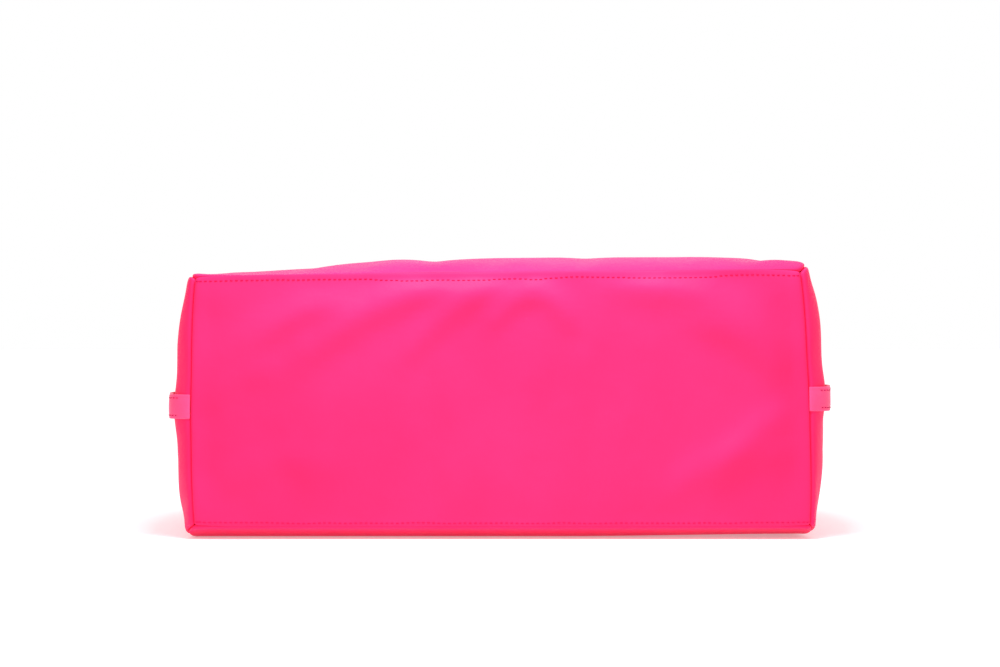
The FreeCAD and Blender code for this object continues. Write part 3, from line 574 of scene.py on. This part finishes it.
# Each line runs from one place on the base to another, as (across, up) from its middle
# in metres, with its height and half width.
DRAG_LINES = (
    ((-0.205, 0.032), (-0.118, 0.078), 0.0022, 0.011),
    ((-0.165, 0.022), (-0.020, 0.090), 0.0030, 0.013),
    ((-0.075, 0.030), (0.012, 0.092), 0.0026, 0.011),
    ((-0.228, -0.004), (-0.170, 0.026), 0.0012, 0.012),
    ((-0.012, 0.052), (0.032, 0.086), 0.0020, 0.008),
    ((0.022, 0.088), (0.060, 0.050), 0.0019, 0.009),
    ((0.085, 0.090), (0.228, 0.030), 0.0028, 0.014),
    ((0.140, 0.062), (0.230, 0.004), 0.0022, 0.012),
    ((0.120, -0.078), (0.226, -0.040), 0.0017, 0.012),
    ((0.165, -0.060), (0.234, -0.008), 0.0018, 0.010),
    ((-0.232, -0.072), (-0.120, -0.050), 0.0010, 0.013),
)


def drag_height(across, up):
    """How far the drag lines lift the cloth at a place on the base."""
    lift = 0.0
    here = Vector((across, up))
    for start, end, height, half_wide in DRAG_LINES:
        start = Vector(start)
        run = Vector(end) - start
        along = (here - start).dot(run) / run.length_squared
        bend = 0.10 * run.length * math.sin(math.pi * min(max(along, 0), 1))
        off = run.orthogonal().normalized().dot(here - start) - bend
        ends = smooth_step(-0.15, 0.3, along) * smooth_step(1.15, 0.7, along)
        lift += FOLD_HEIGHT * height * ends * math.exp(-((off / half_wide) ** 2))
    return lift


def press_drag_lines(shape):
    unit = shape.verts.layers.float_vector["unit"]
    for vertex in shape.verts:
        place = vertex[unit]
        if place.y < -0.999:
            held = min(1 - abs(place.x), 1 - abs(place.z))
            loose = smooth_step(0, 0.12, held)
            vertex.co.y -= loose * drag_height(place.x * LOW_HALF, place.z * FOLD_HALF)


settle_cloth(shell)
soften(shell, 2)
press_drag_lines(shell)

# %% [markdown]
# ## Cutting the panels apart
# A real seam is two edges turned in and stitched together, so the cloth rolls down into a
# narrow valley. Each panel is copied out of the shell, gets one extra row of cells along
# its edge, and its edge is drawn inwards and then turned in as a seam allowance. Where
# three seams meet, the corner is drawn in further, which puckers it.

# %% Seams
SEAM_ROW = 0.0019
SEAM_DEEP = 0.0028
LONG_SEAM_DEEP = 0.0005
LOW_SEAM_DEEP = 0.0016
CORNER_DEEP = 0.0014
CORNER_REACH = 0.007
PUFF = 0.0011
ALLOWANCE = 0.0045
SEAM_TURN = 0.0015
CLOTH_THICK = 0.0008


def remember_inward(shape):
    """Note for every point which way the inside of the bag is."""
    inward = shape.verts.layers.float_vector.new("inward")
    shape.normal_update()
    for vertex in shape.verts:
        vertex[inward] = -vertex.normal


def puff_seams(shape):
    """Raise the first row of cells beside each gusset seam, unevenly, as stitches do."""
    unit = shape.verts.layers.float_vector["unit"]
    shape.normal_update()
    for vertex in shape.verts:
        place = vertex[unit]
        if on_seam(place) or place.y > 0.9 or place.z < -0.999:
            continue
        beside = any(on_seam(edge.other_vert(vertex)[unit]) for edge in vertex.link_edges)
        near_gusset = abs(place.x) > 0.97 or abs(abs(place.x) - 1) < 1e-4
        if beside and near_gusset:
            pucker = noise.noise(vertex.co / 0.012)
            vertex.co += vertex.normal * PUFF * (0.75 + 0.5 * pucker)


def corner_points(shape):
    unit = shape.verts.layers.float_vector["unit"]
    return [
        v.co.copy() for v in shape.verts if all(abs(abs(k) - 1) < 1e-4 for k in v[unit])
    ]


def open_edges_of(shape):
    return [edge for edge in shape.edges if edge.is_boundary]


def extrude(shape, edges):
    """Extrude edges and give back the new points and the new edges that join them."""
    made = bmesh.ops.extrude_edge_only(shape, edges=edges)["geom"]
    points = [part for part in made if isinstance(part, bmesh.types.BMVert)]
    fresh = set(points)
    lines = [part for part in made if isinstance(part, bmesh.types.BMEdge)]
    return points, [line for line in lines if fresh.issuperset(line.verts)]


def cut_panel(name, corners):
    """One panel of the shell, with its edges turned in."""
    shape = shell.copy()
    panel = shape.faces.layers.int["panel"]
    others = [face for face in shape.faces if face[panel] != PANELS[name]]
    bmesh.ops.delete(shape, geom=others, context="FACES")
    bmesh.ops.inset_region(
        shape,
        faces=shape.faces[:],
        thickness=SEAM_ROW,
        use_boundary=True,
        use_even_offset=True,
        use_interpolate=True,
    )
    inward = shape.verts.layers.float_vector["inward"]
    unit = shape.verts.layers.float_vector["unit"]
    edges = open_edges_of(shape)
    for vertex in {v for edge in edges for v in edge.verts}:
        near = min((vertex.co - corner).length for corner in corners)
        deep = LOW_SEAM_DEEP if vertex[unit].z < 0 else LONG_SEAM_DEEP
        if abs(vertex[unit].x) > 0.999:
            deep = SEAM_DEEP
        deep += CORNER_DEEP * math.exp(-((near / CORNER_REACH) ** 2))
        vertex.co += vertex[inward] * deep
    crease = shape.edges.layers.float["crease_edge"]
    for edge in edges:
        place = (edge.verts[0][unit] + edge.verts[1][unit]) / 2
        if abs(place.x) < 0.999 and place.y < 0:
            edge[crease] = 0.9 * smooth_step(0.97, 0.85, abs(place.x))
    for vertex in extrude(shape, edges)[0]:
        vertex.co += vertex[inward] * (ALLOWANCE if vertex[unit].y > 0.9 else SEAM_TURN)
    return shape


puff_seams(shell)
remember_inward(shell)
bag_corners = corner_points(shell)
panels = {}
for panel_name in PANELS:
    shape = cut_panel(panel_name, bag_corners)
    name = panel_name + "_cloth"
    panels[panel_name] = make_cloth(name, shape, nylon, panel_name, CLOTH_THICK, 2)

# %% [markdown]
# ## Lining, facing and base board
# Inside, a thin woven lining runs from the base to the facing, and the facing is the band
# of shell cloth behind the rim. Both are the settled shell again, moved inwards. A foam
# board stands between the lining and the base panel.

# %% Lining and facing
LINING_IN = 0.0026
BOARD_CLEAR = 0.0006
BOARD_ROOM = 0.0060
BASE_SHARE = 0.98
SEAM_ROOM = 1.4
FACING_FROM = 0.100


def inner_copy(keep_rim, inwards):
    """The part of the shell behind or in front of the facing's edge, moved inwards."""
    shape = shell.copy()
    to_rim = Vector((0, 1, 0))
    cut_through(shape, to_rim, FACING_FROM, clear_inner=keep_rim, clear_outer=not keep_rim)
    unit = shape.verts.layers.float_vector["unit"]
    shape.normal_update()
    moves = []
    for vertex in shape.verts:
        deep = inwards * (SEAM_ROOM if on_seam(vertex[unit]) and vertex[unit].y < 0.9 else 1)
        if vertex[unit].y < -0.9:
            deep += (BOARD_ROOM - inwards) * smooth_step(-0.9, -1.0, vertex[unit].y)
        moves.append(-vertex.normal * deep * min(vertex.calc_shell_factor(), 1.6))
    for vertex, move in zip(shape.verts, moves):
        vertex.co += move
        if vertex[unit].y < -0.999:
            across, along, up = vertex[unit]
            flat = shell_point(across * BASE_SHARE, 0, (up * BASE_SHARE + 1) / 2)
            vertex.co = flat + Vector((0, BOARD_ROOM + BOARD_CLEAR, 0))
    return shape


def crumple(shape, height, size, seed):
    """Small soft rumples in loose cloth."""
    shape.normal_update()
    shift = Vector((seed, seed, seed))
    moves = [
        v.normal * height * noise.noise(v.co / size + shift) * (0 if v.is_boundary else 1)
        for v in shape.verts
    ]
    for vertex, move in zip(shape.verts, moves):
        vertex.co += move


lining_shape = inner_copy(False, LINING_IN)
crumple(lining_shape, 0.0006, 0.035, 4.0)
make_cloth("lining_cloth", lining_shape, lining_cloth, "lining_bag", 0.0005)
facing_shape = inner_copy(True, LINING_IN)
make_cloth("facing_band", facing_shape, facing_cloth, "rim_facing", 0.0013)

# %% Foam board
BOARD = (0.456, 0.180, 0.0026)
BOARD_IN = 0.0036


def make_board():
    """A rounded foam board that stands behind the base panel."""
    shape = bmesh.new()
    bmesh.ops.create_cube(shape, size=1.0)
    bmesh.ops.scale(shape, vec=Vector((BOARD[0], BOARD[2], BOARD[1])), verts=shape.verts[:])
    common = {"affect": "EDGES", "profile": 0.5, "material": -1}
    corners = [e for e in shape.edges if abs((e.verts[0].co - e.verts[1].co).y) > 0.001]
    bmesh.ops.bevel(shape, geom=corners, offset=0.012, segments=6, **common)
    edges = [e for e in shape.edges if e.calc_face_angle(0) > 1.2]
    bmesh.ops.bevel(shape, geom=edges, offset=0.0009, segments=2, **common)
    lean = Matrix.Rotation(-math.atan(LEAN), 4, "X")
    middle = shell_point(0, 0, 0.5) + Vector((0, BOARD_IN, 0))
    bmesh.ops.transform(shape, matrix=Matrix.Translation(middle) @ lean, verts=shape.verts[:])
    return shape


def foam_material():
    """Grey foam with fine open cells."""
    material, nodes, links, shader = start_material("grey_foam")
    laid = nodes.new("ShaderNodeTexCoord").outputs["Object"]
    shades = ((0.42, 0.42, 0.44), (0.50, 0.50, 0.52))
    cells = mottled(nodes, links, shader, laid, shades, 900.0)
    set_inputs(shader, Roughness=0.95)
    add_bump(nodes, links, shader, cells.outputs["Fac"], 0.0004)
    return material


foam = foam_material()
board = make_piece("foam_board", make_board(), foam, node="base_foam_pad")

# %% [markdown]
# ## Leather strips
# Straps, tabs and handles are all one section carried along a path. The section starts as
# a circle of points that remember where they were on it. At each station it is squared up
# into a strap with soft edges and a shallow groove under each row of stitches, or left
# round for the rolled handle, and then extruded to the next station.

# %% Sections and sweeps
STITCH_IN = 0.0027
GROOVE_WIDE = 0.0008
GROOVE_DEEP = 0.00028
EDGE_THIN = 0.10
ROLL_SEAM = 0.0009


def squared(amount, power):
    return math.copysign(abs(amount) ** power, amount)


def section_point(around, half_wide, half_thick, roll):
    """A point of the section: a strap when roll is 0, and a rolled cord when it is 1."""
    flat_x = squared(around.x, 0.6)
    flat_y = squared(around.y, 0.32)
    inward = half_wide * (1 - abs(flat_x)) - STITCH_IN
    groove = GROOVE_DEEP * math.exp(-((inward / GROOVE_WIDE) ** 2))
    puff = 1 - EDGE_THIN * flat_x * flat_x
    flat = Vector((flat_x * half_wide, flat_y * (half_thick * puff - groove), 0))
    seam = ROLL_SEAM * math.exp(-((math.atan2(around.y, around.x) / 0.22) ** 2))
    round_one = Vector((around.x * (half_wide + seam), around.y * half_thick, 0))
    return flat.lerp(round_one, roll)


def sweep(stations, segments=32):
    """Carry the section along stations of (matrix, half width, half thickness, roll)."""
    shape = bmesh.new()
    around = shape.verts.layers.float_vector.new("around")
    ring = bmesh.ops.create_circle(shape, segments=segments, radius=1)["verts"]
    for vertex in ring:
        vertex[around] = vertex.co.copy()
    edges = shape.edges[:]
    for number, (matrix, half_wide, half_thick, roll) in enumerate(stations):
        if number:
            ring, edges = extrude(shape, edges)
        for vertex in ring:
            vertex.co = matrix @ section_point(vertex[around], half_wide, half_thick, roll)
    ends = bmesh.ops.holes_fill(shape, edges=open_edges_of(shape), sides=segments)["faces"]
    bmesh.ops.inset_individual(shape, faces=ends, thickness=0.0004, use_even_offset=True)
    bmesh.ops.recalc_face_normals(shape, faces=shape.faces[:])
    return shape


def turn_to(x, y, z):
    """The turn that points the three axes in these directions."""
    return Matrix((x, y, z)).transposed().to_4x4()


def frame_at(spot, along, side):
    """A matrix whose X is the strap's width, Y its face and Z its run."""
    run = along.normalized()
    return Matrix.Translation(spot) @ turn_to(side, run.cross(side).normalized(), run)


def stations_along(path, side):
    """Frames along a path of (spot, half width, half thickness, roll)."""
    made = []
    for number, (spot, half_wide, half_thick, roll) in enumerate(path):
        before = path[max(number - 1, 0)][0]
        after = path[min(number + 1, len(path) - 1)][0]
        made.append((frame_at(spot, after - before, side), half_wide, half_thick, roll))
    return made


def fill_in(path, step):
    """Add stations to a path so that none are further apart than step."""
    filled = [path[0]]
    for start, end in zip(path, path[1:]):
        count = max(math.ceil((end[0] - start[0]).length / step), 1)
        for k in range(1, count + 1):
            share = k / count
            spot = start[0].lerp(end[0], share)
            filled.append((spot, *[a + (b - a) * share for a, b in zip(start[1:], end[1:])]))
    return filled


def fold_round(reach, steps=12):
    """Places round half a turn about a bar, as (out, along) from the bar's middle."""
    angles = [math.pi * step / steps for step in range(steps + 1)]
    return [(-reach * math.cos(angle), reach * math.sin(angle)) for angle in angles]


def make_leather(name, shape, node, body="bag"):
    """A finished piece of leather. Gives back its surface, to sew on."""
    return surface_of(make_piece(name, shape, leather, body, node, levels=1))


# %% [markdown]
# ## Stitches
# Each stitch is a small capsule of thread laid on the surface it sews, four millimetres
# from the next, with its ends dipping into the holes. A row of them is one piece.

# %% Stitch rows
STITCH_PITCH = 0.0040
STITCH_LONG = 0.0027
STITCH_WIDE = 0.0009


def walk(points, pitch):
    """Points one pitch apart along a polyline, with the direction at each."""
    left = pitch * 0.5
    for start, end in zip(points, points[1:]):
        span = (end - start).length
        if span < 1e-9:
            continue
        direction = (end - start) / span
        while left <= span:
            yield start + direction * left, direction
            left += pitch
        left -= span


def add_stitch(shape, spot, direction, face):
    side = direction.cross(face).normalized()
    turn = turn_to(direction, side, side.cross(direction))
    size = Matrix.Diagonal((STITCH_LONG / 2, STITCH_WIDE / 2, STITCH_WIDE / 2, 1))
    lift = Matrix.Translation(spot + face * STITCH_WIDE * 0.12)
    bmesh.ops.create_uvsphere(
        shape, u_segments=6, v_segments=5, radius=1, matrix=lift @ turn @ size
    )


def stitch_rows(name, rows, tree, body="bag"):
    """Sew rows of stitches onto the nearest surface of a tree, as one piece."""
    shape = bmesh.new()
    for row in rows:
        for spot, direction in walk(row, STITCH_PITCH):
            found, face, index, far = tree.find_nearest(spot)
            along = (direction - face * direction.dot(face)).normalized()
            add_stitch(shape, found, along, face)
    return make_piece(name, shape, thread, body)


def shell_row(places, outwards=Vector()):
    """A row of points on or just outside the shell, from places of (across, along, up)."""
    return [shell_point(*place) + outwards for place in places]


SHARES = [k / 60 for k in range(61)]
base_tree = surface_of(panels["base_panel"])
seam_share = (STITCH_IN + 0.0012) / 0.198
clear_of_folds = Vector((0, -0.006, 0))
base_rows = [
    shell_row([(2 * share - 1, 0, up) for share in SHARES], clear_of_folds)
    for up in (seam_share, 1 - seam_share)
]
stitch_rows("base_topstitch", base_rows, base_tree)
rim_tree = surface_of(*[panels[name] for name in PANELS if name != "base_panel"])
RIM_ROW = 1 - 0.009 / 0.330
ROW_CLEAR = 0.004
long_rows = []
end_rows = []
for side in (-1, 1):
    long_row = [(2 * share - 1, RIM_ROW, (side + 1) / 2) for share in SHARES[1:-1]]
    end_row = [(side, RIM_ROW, share) for share in SHARES[2:-2]]
    long_rows.append(shell_row(long_row, Vector((0, 0, side * ROW_CLEAR))))
    end_rows.append(shell_row(end_row, Vector((side * ROW_CLEAR, 0, 0))))
stitch_rows("rim_topstitch", long_rows + end_rows, rim_tree)

# %% [markdown]
# ## Side straps
# A strap runs up the middle of each gusset from the base seam, goes round the bar of its
# D ring near the rim, and comes back down to a rivet. The two rows of stitches stop at
# the fold.

# %% Strap path
STRAP_THICK = 0.003
STRAP_GAP = 0.0008
LOOP_AT = 0.150
LAYER = 0.0015
DEE_HOLE = 0.00183
FOLD_END = 0.126
STRAP_PLACES = (-0.1515, -0.148, -0.144, -0.136, -0.125, -0.112, -0.100, -0.080, -0.060)
STRAP_PLACES += (-0.02, 0.02, 0.050, 0.075, 0.100, 0.134)


def strap_face(side, place):
    """How far out the inside face of a strap is at a place along the bag."""
    start = -HALF_LONG + STRAP_UP[side] * LEAN
    along = (place - start) / (HALF_LONG - start)
    up = STRAP_UP[side] / RINGS[0][3]
    return abs(shell_point(side, max(along, 0), up).x) + STRAP_GAP


def strap_path(side, up):
    """The strap's middle line, from the base seam, round the ring's bar and back."""

    def spot(out, place):
        return Vector((side * out, place, up))

    thick = STRAP_THICK / 2
    wide = STRAP_HALF
    path = [
        (spot(strap_face(side, -0.1552) - 0.0022, -0.1548), wide, 0.0011, 0),
        (spot(strap_face(side, -0.1545), -0.1542), wide, thick, 0),
    ]
    for place in STRAP_PLACES:
        path.append((spot(strap_face(side, place) + thick, place), wide, thick, 0))
    bar = strap_face(side, LOOP_AT) + DEE_HOLE + LAYER
    reach = DEE_HOLE + LAYER / 2
    thin = LAYER / 2
    for out, along in fold_round(reach):
        path.append((spot(bar + out, LOOP_AT + along), wide, thin, 0))
    far = bar + DEE_HOLE + LAYER
    path.append((spot(far - 0.0016, 0.1435), wide, 0.00155, 0))
    path.append((spot(far - 0.00165, FOLD_END + 0.001), wide, 0.0016, 0))
    path.append((spot(far - 0.00175, FOLD_END + 0.0002), wide - 0.0004, 0.0011, 0))
    return fill_in(path, 0.006)


# %% Sew on the straps
def strap_rows(side, up):
    """Stitches: up both edges, and round the end that comes back from the ring."""
    rows = []
    out = strap_face(side, LOOP_AT) + 2 * (DEE_HOLE + LAYER)
    for edge in (-1, 1):
        z = up + edge * (STRAP_HALF - STITCH_IN)
        places = [-0.152 + k * 0.01 for k in range(28)] + [FOLD_END - 0.0015]
        rows.append([Vector((side * (strap_face(side, p) + 0.004), p, z)) for p in places])
        rows.append([Vector((side * out, p, z)) for p in (FOLD_END + 0.003, 0.149)])
    z = STRAP_HALF - STITCH_IN
    rows.append([Vector((side * out, FOLD_END + 0.003, up + k * z)) for k in (-1, 1)])
    return rows


def make_strap(side, up):
    """The swept strap, its low end leaning back with the base seam."""
    shape = sweep(stations_along(strap_path(side, up), Vector((0, 0, 1))))
    for vertex in shape.verts:
        lean = (vertex.co.z - up) * LEAN
        vertex.co.y += lean * smooth_step(-0.100, -0.152, vertex.co.y)
    return shape


for word, side in SIDES:
    up = STRAP_UP[side]
    tree = make_leather(word + "_strap_leather", make_strap(side, up), word + "_side_strap")
    stitch_rows(word + "_strap_stitches", strap_rows(side, up), tree)

# %% [markdown]
# ## Handle tabs
# Four leather tabs near the rim, each folded round the near bar of a handle ring, riveted
# through both layers and stitched round its edge.

# %% Tab frames
TAB_REACH = 0.054
TAB_LAYER = 0.0022
TAB_LOOP = 0.0016 + 0.00008 + 0.8 * TAB_LAYER


def panel_line(which):
    """The height of a panel where its tabs start, and its slope towards the rim."""
    if which == "back":
        near, far = RINGS[4][1], RINGS[5][1]
    else:
        near, far = [
            RINGS[k][3] + RINGS[k][5] * (1 - (TAB_AT / RINGS[k][2]) ** 2) for k in (4, 5)
        ]
    slope = (far - near) / (RINGS[5][0] - RINGS[4][0])
    return near + slope * (TAB_START - RINGS[4][0]), math.atan(slope)


def tab_frame(which, side):
    start, slope = panel_line(which)
    turn = Matrix.Rotation(slope, 4, "X")
    if which == "back":
        turn = turn @ Matrix.Rotation(math.pi, 4, "Y")
    lift = turn @ Vector((0, 0, 0.0005))
    return Matrix.Translation(Vector((side * TAB_AT, TAB_START, start)) + lift) @ turn


def tab_path():
    """A tab's middle line in its own frame: out, round the bar and back."""
    thick = TAB_LAYER / 2
    path = [
        (Vector((0, 0.0002, thick)), TAB_HALF - 0.0005, thick * 0.7, 0),
        (Vector((0, 0.0010, thick)), TAB_HALF, thick, 0),
        (Vector((0, 0.0440, thick)), TAB_HALF, thick, 0),
    ]
    wall = 0.8 * TAB_LAYER / 2
    for out, along in fold_round(TAB_LOOP - wall):
        path.append((Vector((0, TAB_REACH + along, TAB_LOOP + out)), TAB_HALF, wall, 0))
    path += [
        (Vector((0, 0.0440, 3 * thick)), TAB_HALF, thick, 0),
        (Vector((0, 0.0096, 3 * thick)), TAB_HALF, thick, 0),
        (Vector((0, 0.0088, 3 * thick)), TAB_HALF - 0.0005, thick * 0.7, 0),
    ]
    return fill_in(path, 0.006)


def tab_rows():
    """The tab's stitches: along both edges and across its low end."""
    edge = TAB_HALF - STITCH_IN
    high = 2 * TAB_LAYER
    corners = [(-edge, 0.044), (-edge, 0.0117), (edge, 0.0117), (edge, 0.044)]
    return [[Vector((x, y, high)) for x, y in corners]]


for which in ("front", "back"):
    for word, side in SIDES:
        placed = tab_frame(which, side)
        shape = sweep(stations_along(tab_path(), Vector((1, 0, 0))))
        bmesh.ops.transform(shape, matrix=placed, verts=shape.verts[:])
        name = which + "_tab_" + word
        tree = make_leather(name + "_leather", shape, which + "_handle_tab_" + word)
        rows = [[placed @ spot for spot in row] for row in tab_rows()]
        stitch_rows(name + "_stitches", rows, tree)

# %% [markdown]
# ## Rolled handles
# Each handle is one long piece of leather: flat where it is folded round a ring and sewn
# through, rolled round a cord between. The roll's seam and its stitches run along the
# inside of the bow.

# %% Handle
LINK_REACH = 0.0132
CHAPE = (0.010, 0.0026, 0.034)
GRIP = 0.0055
LEG = 0.130
HANDLE_TURN = {"front": math.radians(-43.75), "back": math.radians(-0.17)}


def handle_frame(which):
    pivot = tab_frame(which, 0) @ Vector((0, TAB_REACH, TAB_LOOP))
    pivot.x = 0
    return Matrix.Translation(pivot) @ Matrix.Rotation(HANDLE_TURN[which], 4, "X")


def handle_path():
    """The handle's middle line in its own flat frame, with the width's direction."""
    half_wide, half_thick, long = CHAPE
    flat_end = LINK_REACH + long
    leg_end = flat_end + LEG
    one_side = [
        (LINK_REACH - 0.0024, half_wide - 0.001, 0.0008, 0),
        (LINK_REACH - 0.0018, half_wide - 0.0002, 0.0018, 0),
        (LINK_REACH - 0.0008, half_wide, 0.0024, 0),
        (LINK_REACH + 0.0005, half_wide, half_thick, 0),
        (flat_end - 0.012, half_wide, half_thick, 0),
        (flat_end - 0.006, half_wide * 0.93, 0.0031, 0.15),
        (flat_end, 0.0073, 0.0046, 0.6),
        (flat_end + 0.006, 0.0057, 0.0054, 0.95),
        (flat_end + 0.012, GRIP, GRIP, 1),
        (leg_end, GRIP, GRIP, 1),
    ]
    legs = fill_in([(Vector((TAB_AT, y, 0)), *rest) for y, *rest in one_side], 0.008)
    stations = [
        (frame_at(spot, Vector((0, 1, 0)), Vector((-1, 0, 0))), *rest) for spot, *rest in legs
    ]
    for step in range(1, 32):
        angle = math.pi * step / 32
        side = Vector((-math.cos(angle), -math.sin(angle), 0))
        spot = Vector((0, leg_end, 0)) - side * TAB_AT
        stations.append((frame_at(spot, side.cross(Vector((0, 0, 1))), side), GRIP, GRIP, 1))
    for spot, *rest in reversed(legs):
        across = Vector((-spot.x, spot.y, 0))
        stations.append((frame_at(across, Vector((0, -1, 0)), Vector((1, 0, 0))), *rest))
    return stations


def handle_rows():
    """Stitches: round each flat end on both faces, and along the roll's seam."""
    half_wide, half_thick, long = CHAPE
    edge = half_wide - STITCH_IN
    low = LINK_REACH + 0.0045
    high = LINK_REACH + long - 0.006
    rows = []
    for side in (-1, 1):
        for face in (-1, 1):
            corners = [(-edge, low), (-edge, high), (edge, high), (edge, low), (-edge, low)]
            rows.append(
                [Vector((side * TAB_AT + x, y, face * half_thick * 1.2)) for x, y in corners]
            )
    leg_start = LINK_REACH + long + 0.008
    leg_end = LINK_REACH + long + LEG
    inner = TAB_AT - GRIP - 0.0010
    seam = [Vector((inner, leg_start, 0.0012))]
    for step in range(33):
        angle = math.pi * step / 32
        seam.append(Vector((inner * math.cos(angle), leg_end + inner * math.sin(angle), 0.0012)))
    seam.append(Vector((-inner, leg_start, 0.0012)))
    rows.append(seam)
    return rows


for which in ("front", "back"):
    placed = handle_frame(which)
    shape = sweep(handle_path(), 28)
    bmesh.ops.transform(shape, matrix=placed, verts=shape.verts[:])
    body = which + "_handle_loop"
    tree = make_leather(which + "_handle_leather", shape, which + "_handle", body)
    rows = [[placed @ spot for spot in row] for row in handle_rows()]
    stitch_rows(which + "_handle_stitches", rows, tree, body)

# %% [markdown]
# ## Inside pocket
# On the inside of the back panel: a slack pouch, the zip's two tapes, and a frame of
# lining cloth sewn round the teeth.

# %% Pouch, tape and welt
POUCH_HALF = 0.095
POUCH_LOW = -0.085
POUCH_TOP = 0.022
TAPE_MIDDLE = 0.0343
TAPE_HALF = 0.012
POUCH_UP = 0.0039
WELT_UP = 0.0046


def cloth_grid(half_x, low, high, floor, cells):
    """A flat grid of cloth with its UV map in metres."""
    shape = bmesh.new()
    cloth = shape.loops.layers.uv.new("cloth")
    bmesh.ops.create_grid(shape, x_segments=cells[0], y_segments=cells[1], size=1)
    middle = Vector((0, (low + high) / 2, floor))
    size = Vector((half_x, (high - low) / 2, 1))
    for vertex in shape.verts:
        vertex.co = Vector((vertex.co.x * size.x, vertex.co.y * size.y, 0)) + middle
    for face in shape.faces:
        for corner in face.loops:
            corner[cloth].uv = corner.vert.co.xy
    return shape


def make_pouch():
    """The pouch is sewn down at its edges and slack between them."""
    shape = cloth_grid(POUCH_HALF - 0.0006, POUCH_LOW, POUCH_TOP, POUCH_UP, (46, 26))
    for vertex in shape.verts:
        edge = min(POUCH_HALF - abs(vertex.co.x), vertex.co.y - POUCH_LOW, POUCH_TOP - vertex.co.y)
        loose = smooth_step(0.002, 0.020, edge)
        rumple = noise.noise(Vector((vertex.co.x / 0.05, vertex.co.y / 0.02, 3)))
        vertex.co.z += loose * (0.0011 + 0.0009 * rumple)
    return shape


tape_low = TAPE_MIDDLE - TAPE_HALF
tape_high = TAPE_MIDDLE + TAPE_HALF


def make_welt():
    """A frame of cloth: a plate with a window cut in it for the teeth."""
    shape = cloth_grid(POUCH_HALF, tape_low, tape_high, WELT_UP, (38, 12))
    window_x = 0.090
    window_y = 0.0055
    gone = [
        face
        for face in shape.faces
        if abs(face.calc_center_median().x) < window_x
        and abs(face.calc_center_median().y - TAPE_MIDDLE) < window_y
    ]
    bmesh.ops.delete(shape, geom=gone, context="FACES")
    return shape


def make_tape():
    return cloth_grid(POUCH_HALF, tape_low, tape_high, POUCH_UP, (40, 6))


pouch = make_cloth("pouch_cloth", make_pouch(), lining_cloth, "pocket_pouch", 0.0006)
make_cloth("zip_tape_cloth", make_tape(), tape_cloth, "pocket_zip_tape", 0.0005)
welt = make_cloth("welt_cloth", make_welt(), lining_cloth, "pocket_welt", 0.0006)
pocket_tree = surface_of(welt, pouch)


def ring_row(half_x, low, high):
    corners = [(-half_x, low), (half_x, low), (half_x, high), (-half_x, high), (-half_x, low)]
    return [Vector((x, y, 0.006)) for x, y in corners]


stitch_rows(
    "pocket_stitches",
    [
        ring_row(POUCH_HALF - 0.0015, tape_low + 0.0015, tape_high - 0.0015),
        ring_row(POUCH_HALF - 0.002, POUCH_LOW + 0.002, POUCH_TOP - 0.002),
    ],
    pocket_tree,
)

# %% [markdown]
# ## Metal and plastic fittings
# The rings, rivets, snap and zip are the CAD model's own solids. Each only needs its
# material in its slot.

# %% Materials on the fittings
METAL = ["handle_tab_rivets", "magnet_snap_socket", "magnet_snap_stud"]
METAL += ["pocket_zip_slider", "pocket_zip_pull", "pocket_zip_end_stops"]
for word in ("left", "right"):
    METAL += [word + "_dee_ring", word + "_strap_rivet"]
    METAL += [which + "_handle_ring_" + word for which in ("front", "back")]
TEETH = ["pocket_zip_teeth_upper", "pocket_zip_teeth_lower"]
for nodes, material in ((METAL, nickel), (TEETH, plastic)):
    for node in nodes:
        for place in bpy.data.objects[node].material_slots:
            place.material = material
print("fittings", len(METAL + TEETH))

# %% [markdown]
# ## Floor, light and camera
# A plain white floor and a white world stand for a studio's sweep. One broad light
# hangs above and a little in front of the bag, so its folds show and the shadow is only a
# thin line where the bag meets the floor.


# %% Floor
def make_floor():
    shape = bmesh.new()
    bmesh.ops.create_grid(shape, x_segments=2, y_segments=2, size=60.0)
    floor, mesh = link_mesh("floor", shape)
    shape.free()
    material, nodes, links, shader = start_material("studio_floor")
    set_inputs(
        shader,
        Base_Color=(0.80, 0.80, 0.80, 1),
        Roughness=0.9,
        Emission_Color=(1, 1, 1, 1),
        Emission_Strength=0.30,
    )
    mesh.materials.append(material)


make_floor()


# %% Lights
def add_light(name, place, target, size, power):
    lamp = bpy.data.lights.new(name, "AREA")
    lamp.shape = "RECTANGLE"
    lamp.size = size[0]
    lamp.size_y = size[1]
    lamp.energy = power
    holder = bpy.data.objects.new(name, lamp)
    holder.location = place
    holder.rotation_euler = (Vector(target) - Vector(place)).to_track_quat("-Z", "Y").to_euler()
    scene.collection.objects.link(holder)


world = bpy.data.worlds.new("studio")
scene.world = world
world.use_nodes = True
set_inputs(world.node_tree.nodes["Background"], Color=(1, 1, 1, 1), Strength=1.0)
add_light("overhead", (0, -0.31, 0.62), (0, -0.14, 0.15), (0.36, 0.22), 6.5)

# %% Camera
CAMERA_UP = 0.150
CAMERA_BACK = -1.979
eye = bpy.data.cameras.new("camera")
eye.lens = 85
eye.sensor_width = 36
eye.shift_y = 0.0112
camera = bpy.data.objects.new("camera", eye)
camera.location = (0, CAMERA_BACK, CAMERA_UP)
camera.rotation_euler = (math.radians(90), 0, 0)
scene.collection.objects.link(camera)
scene.camera = camera
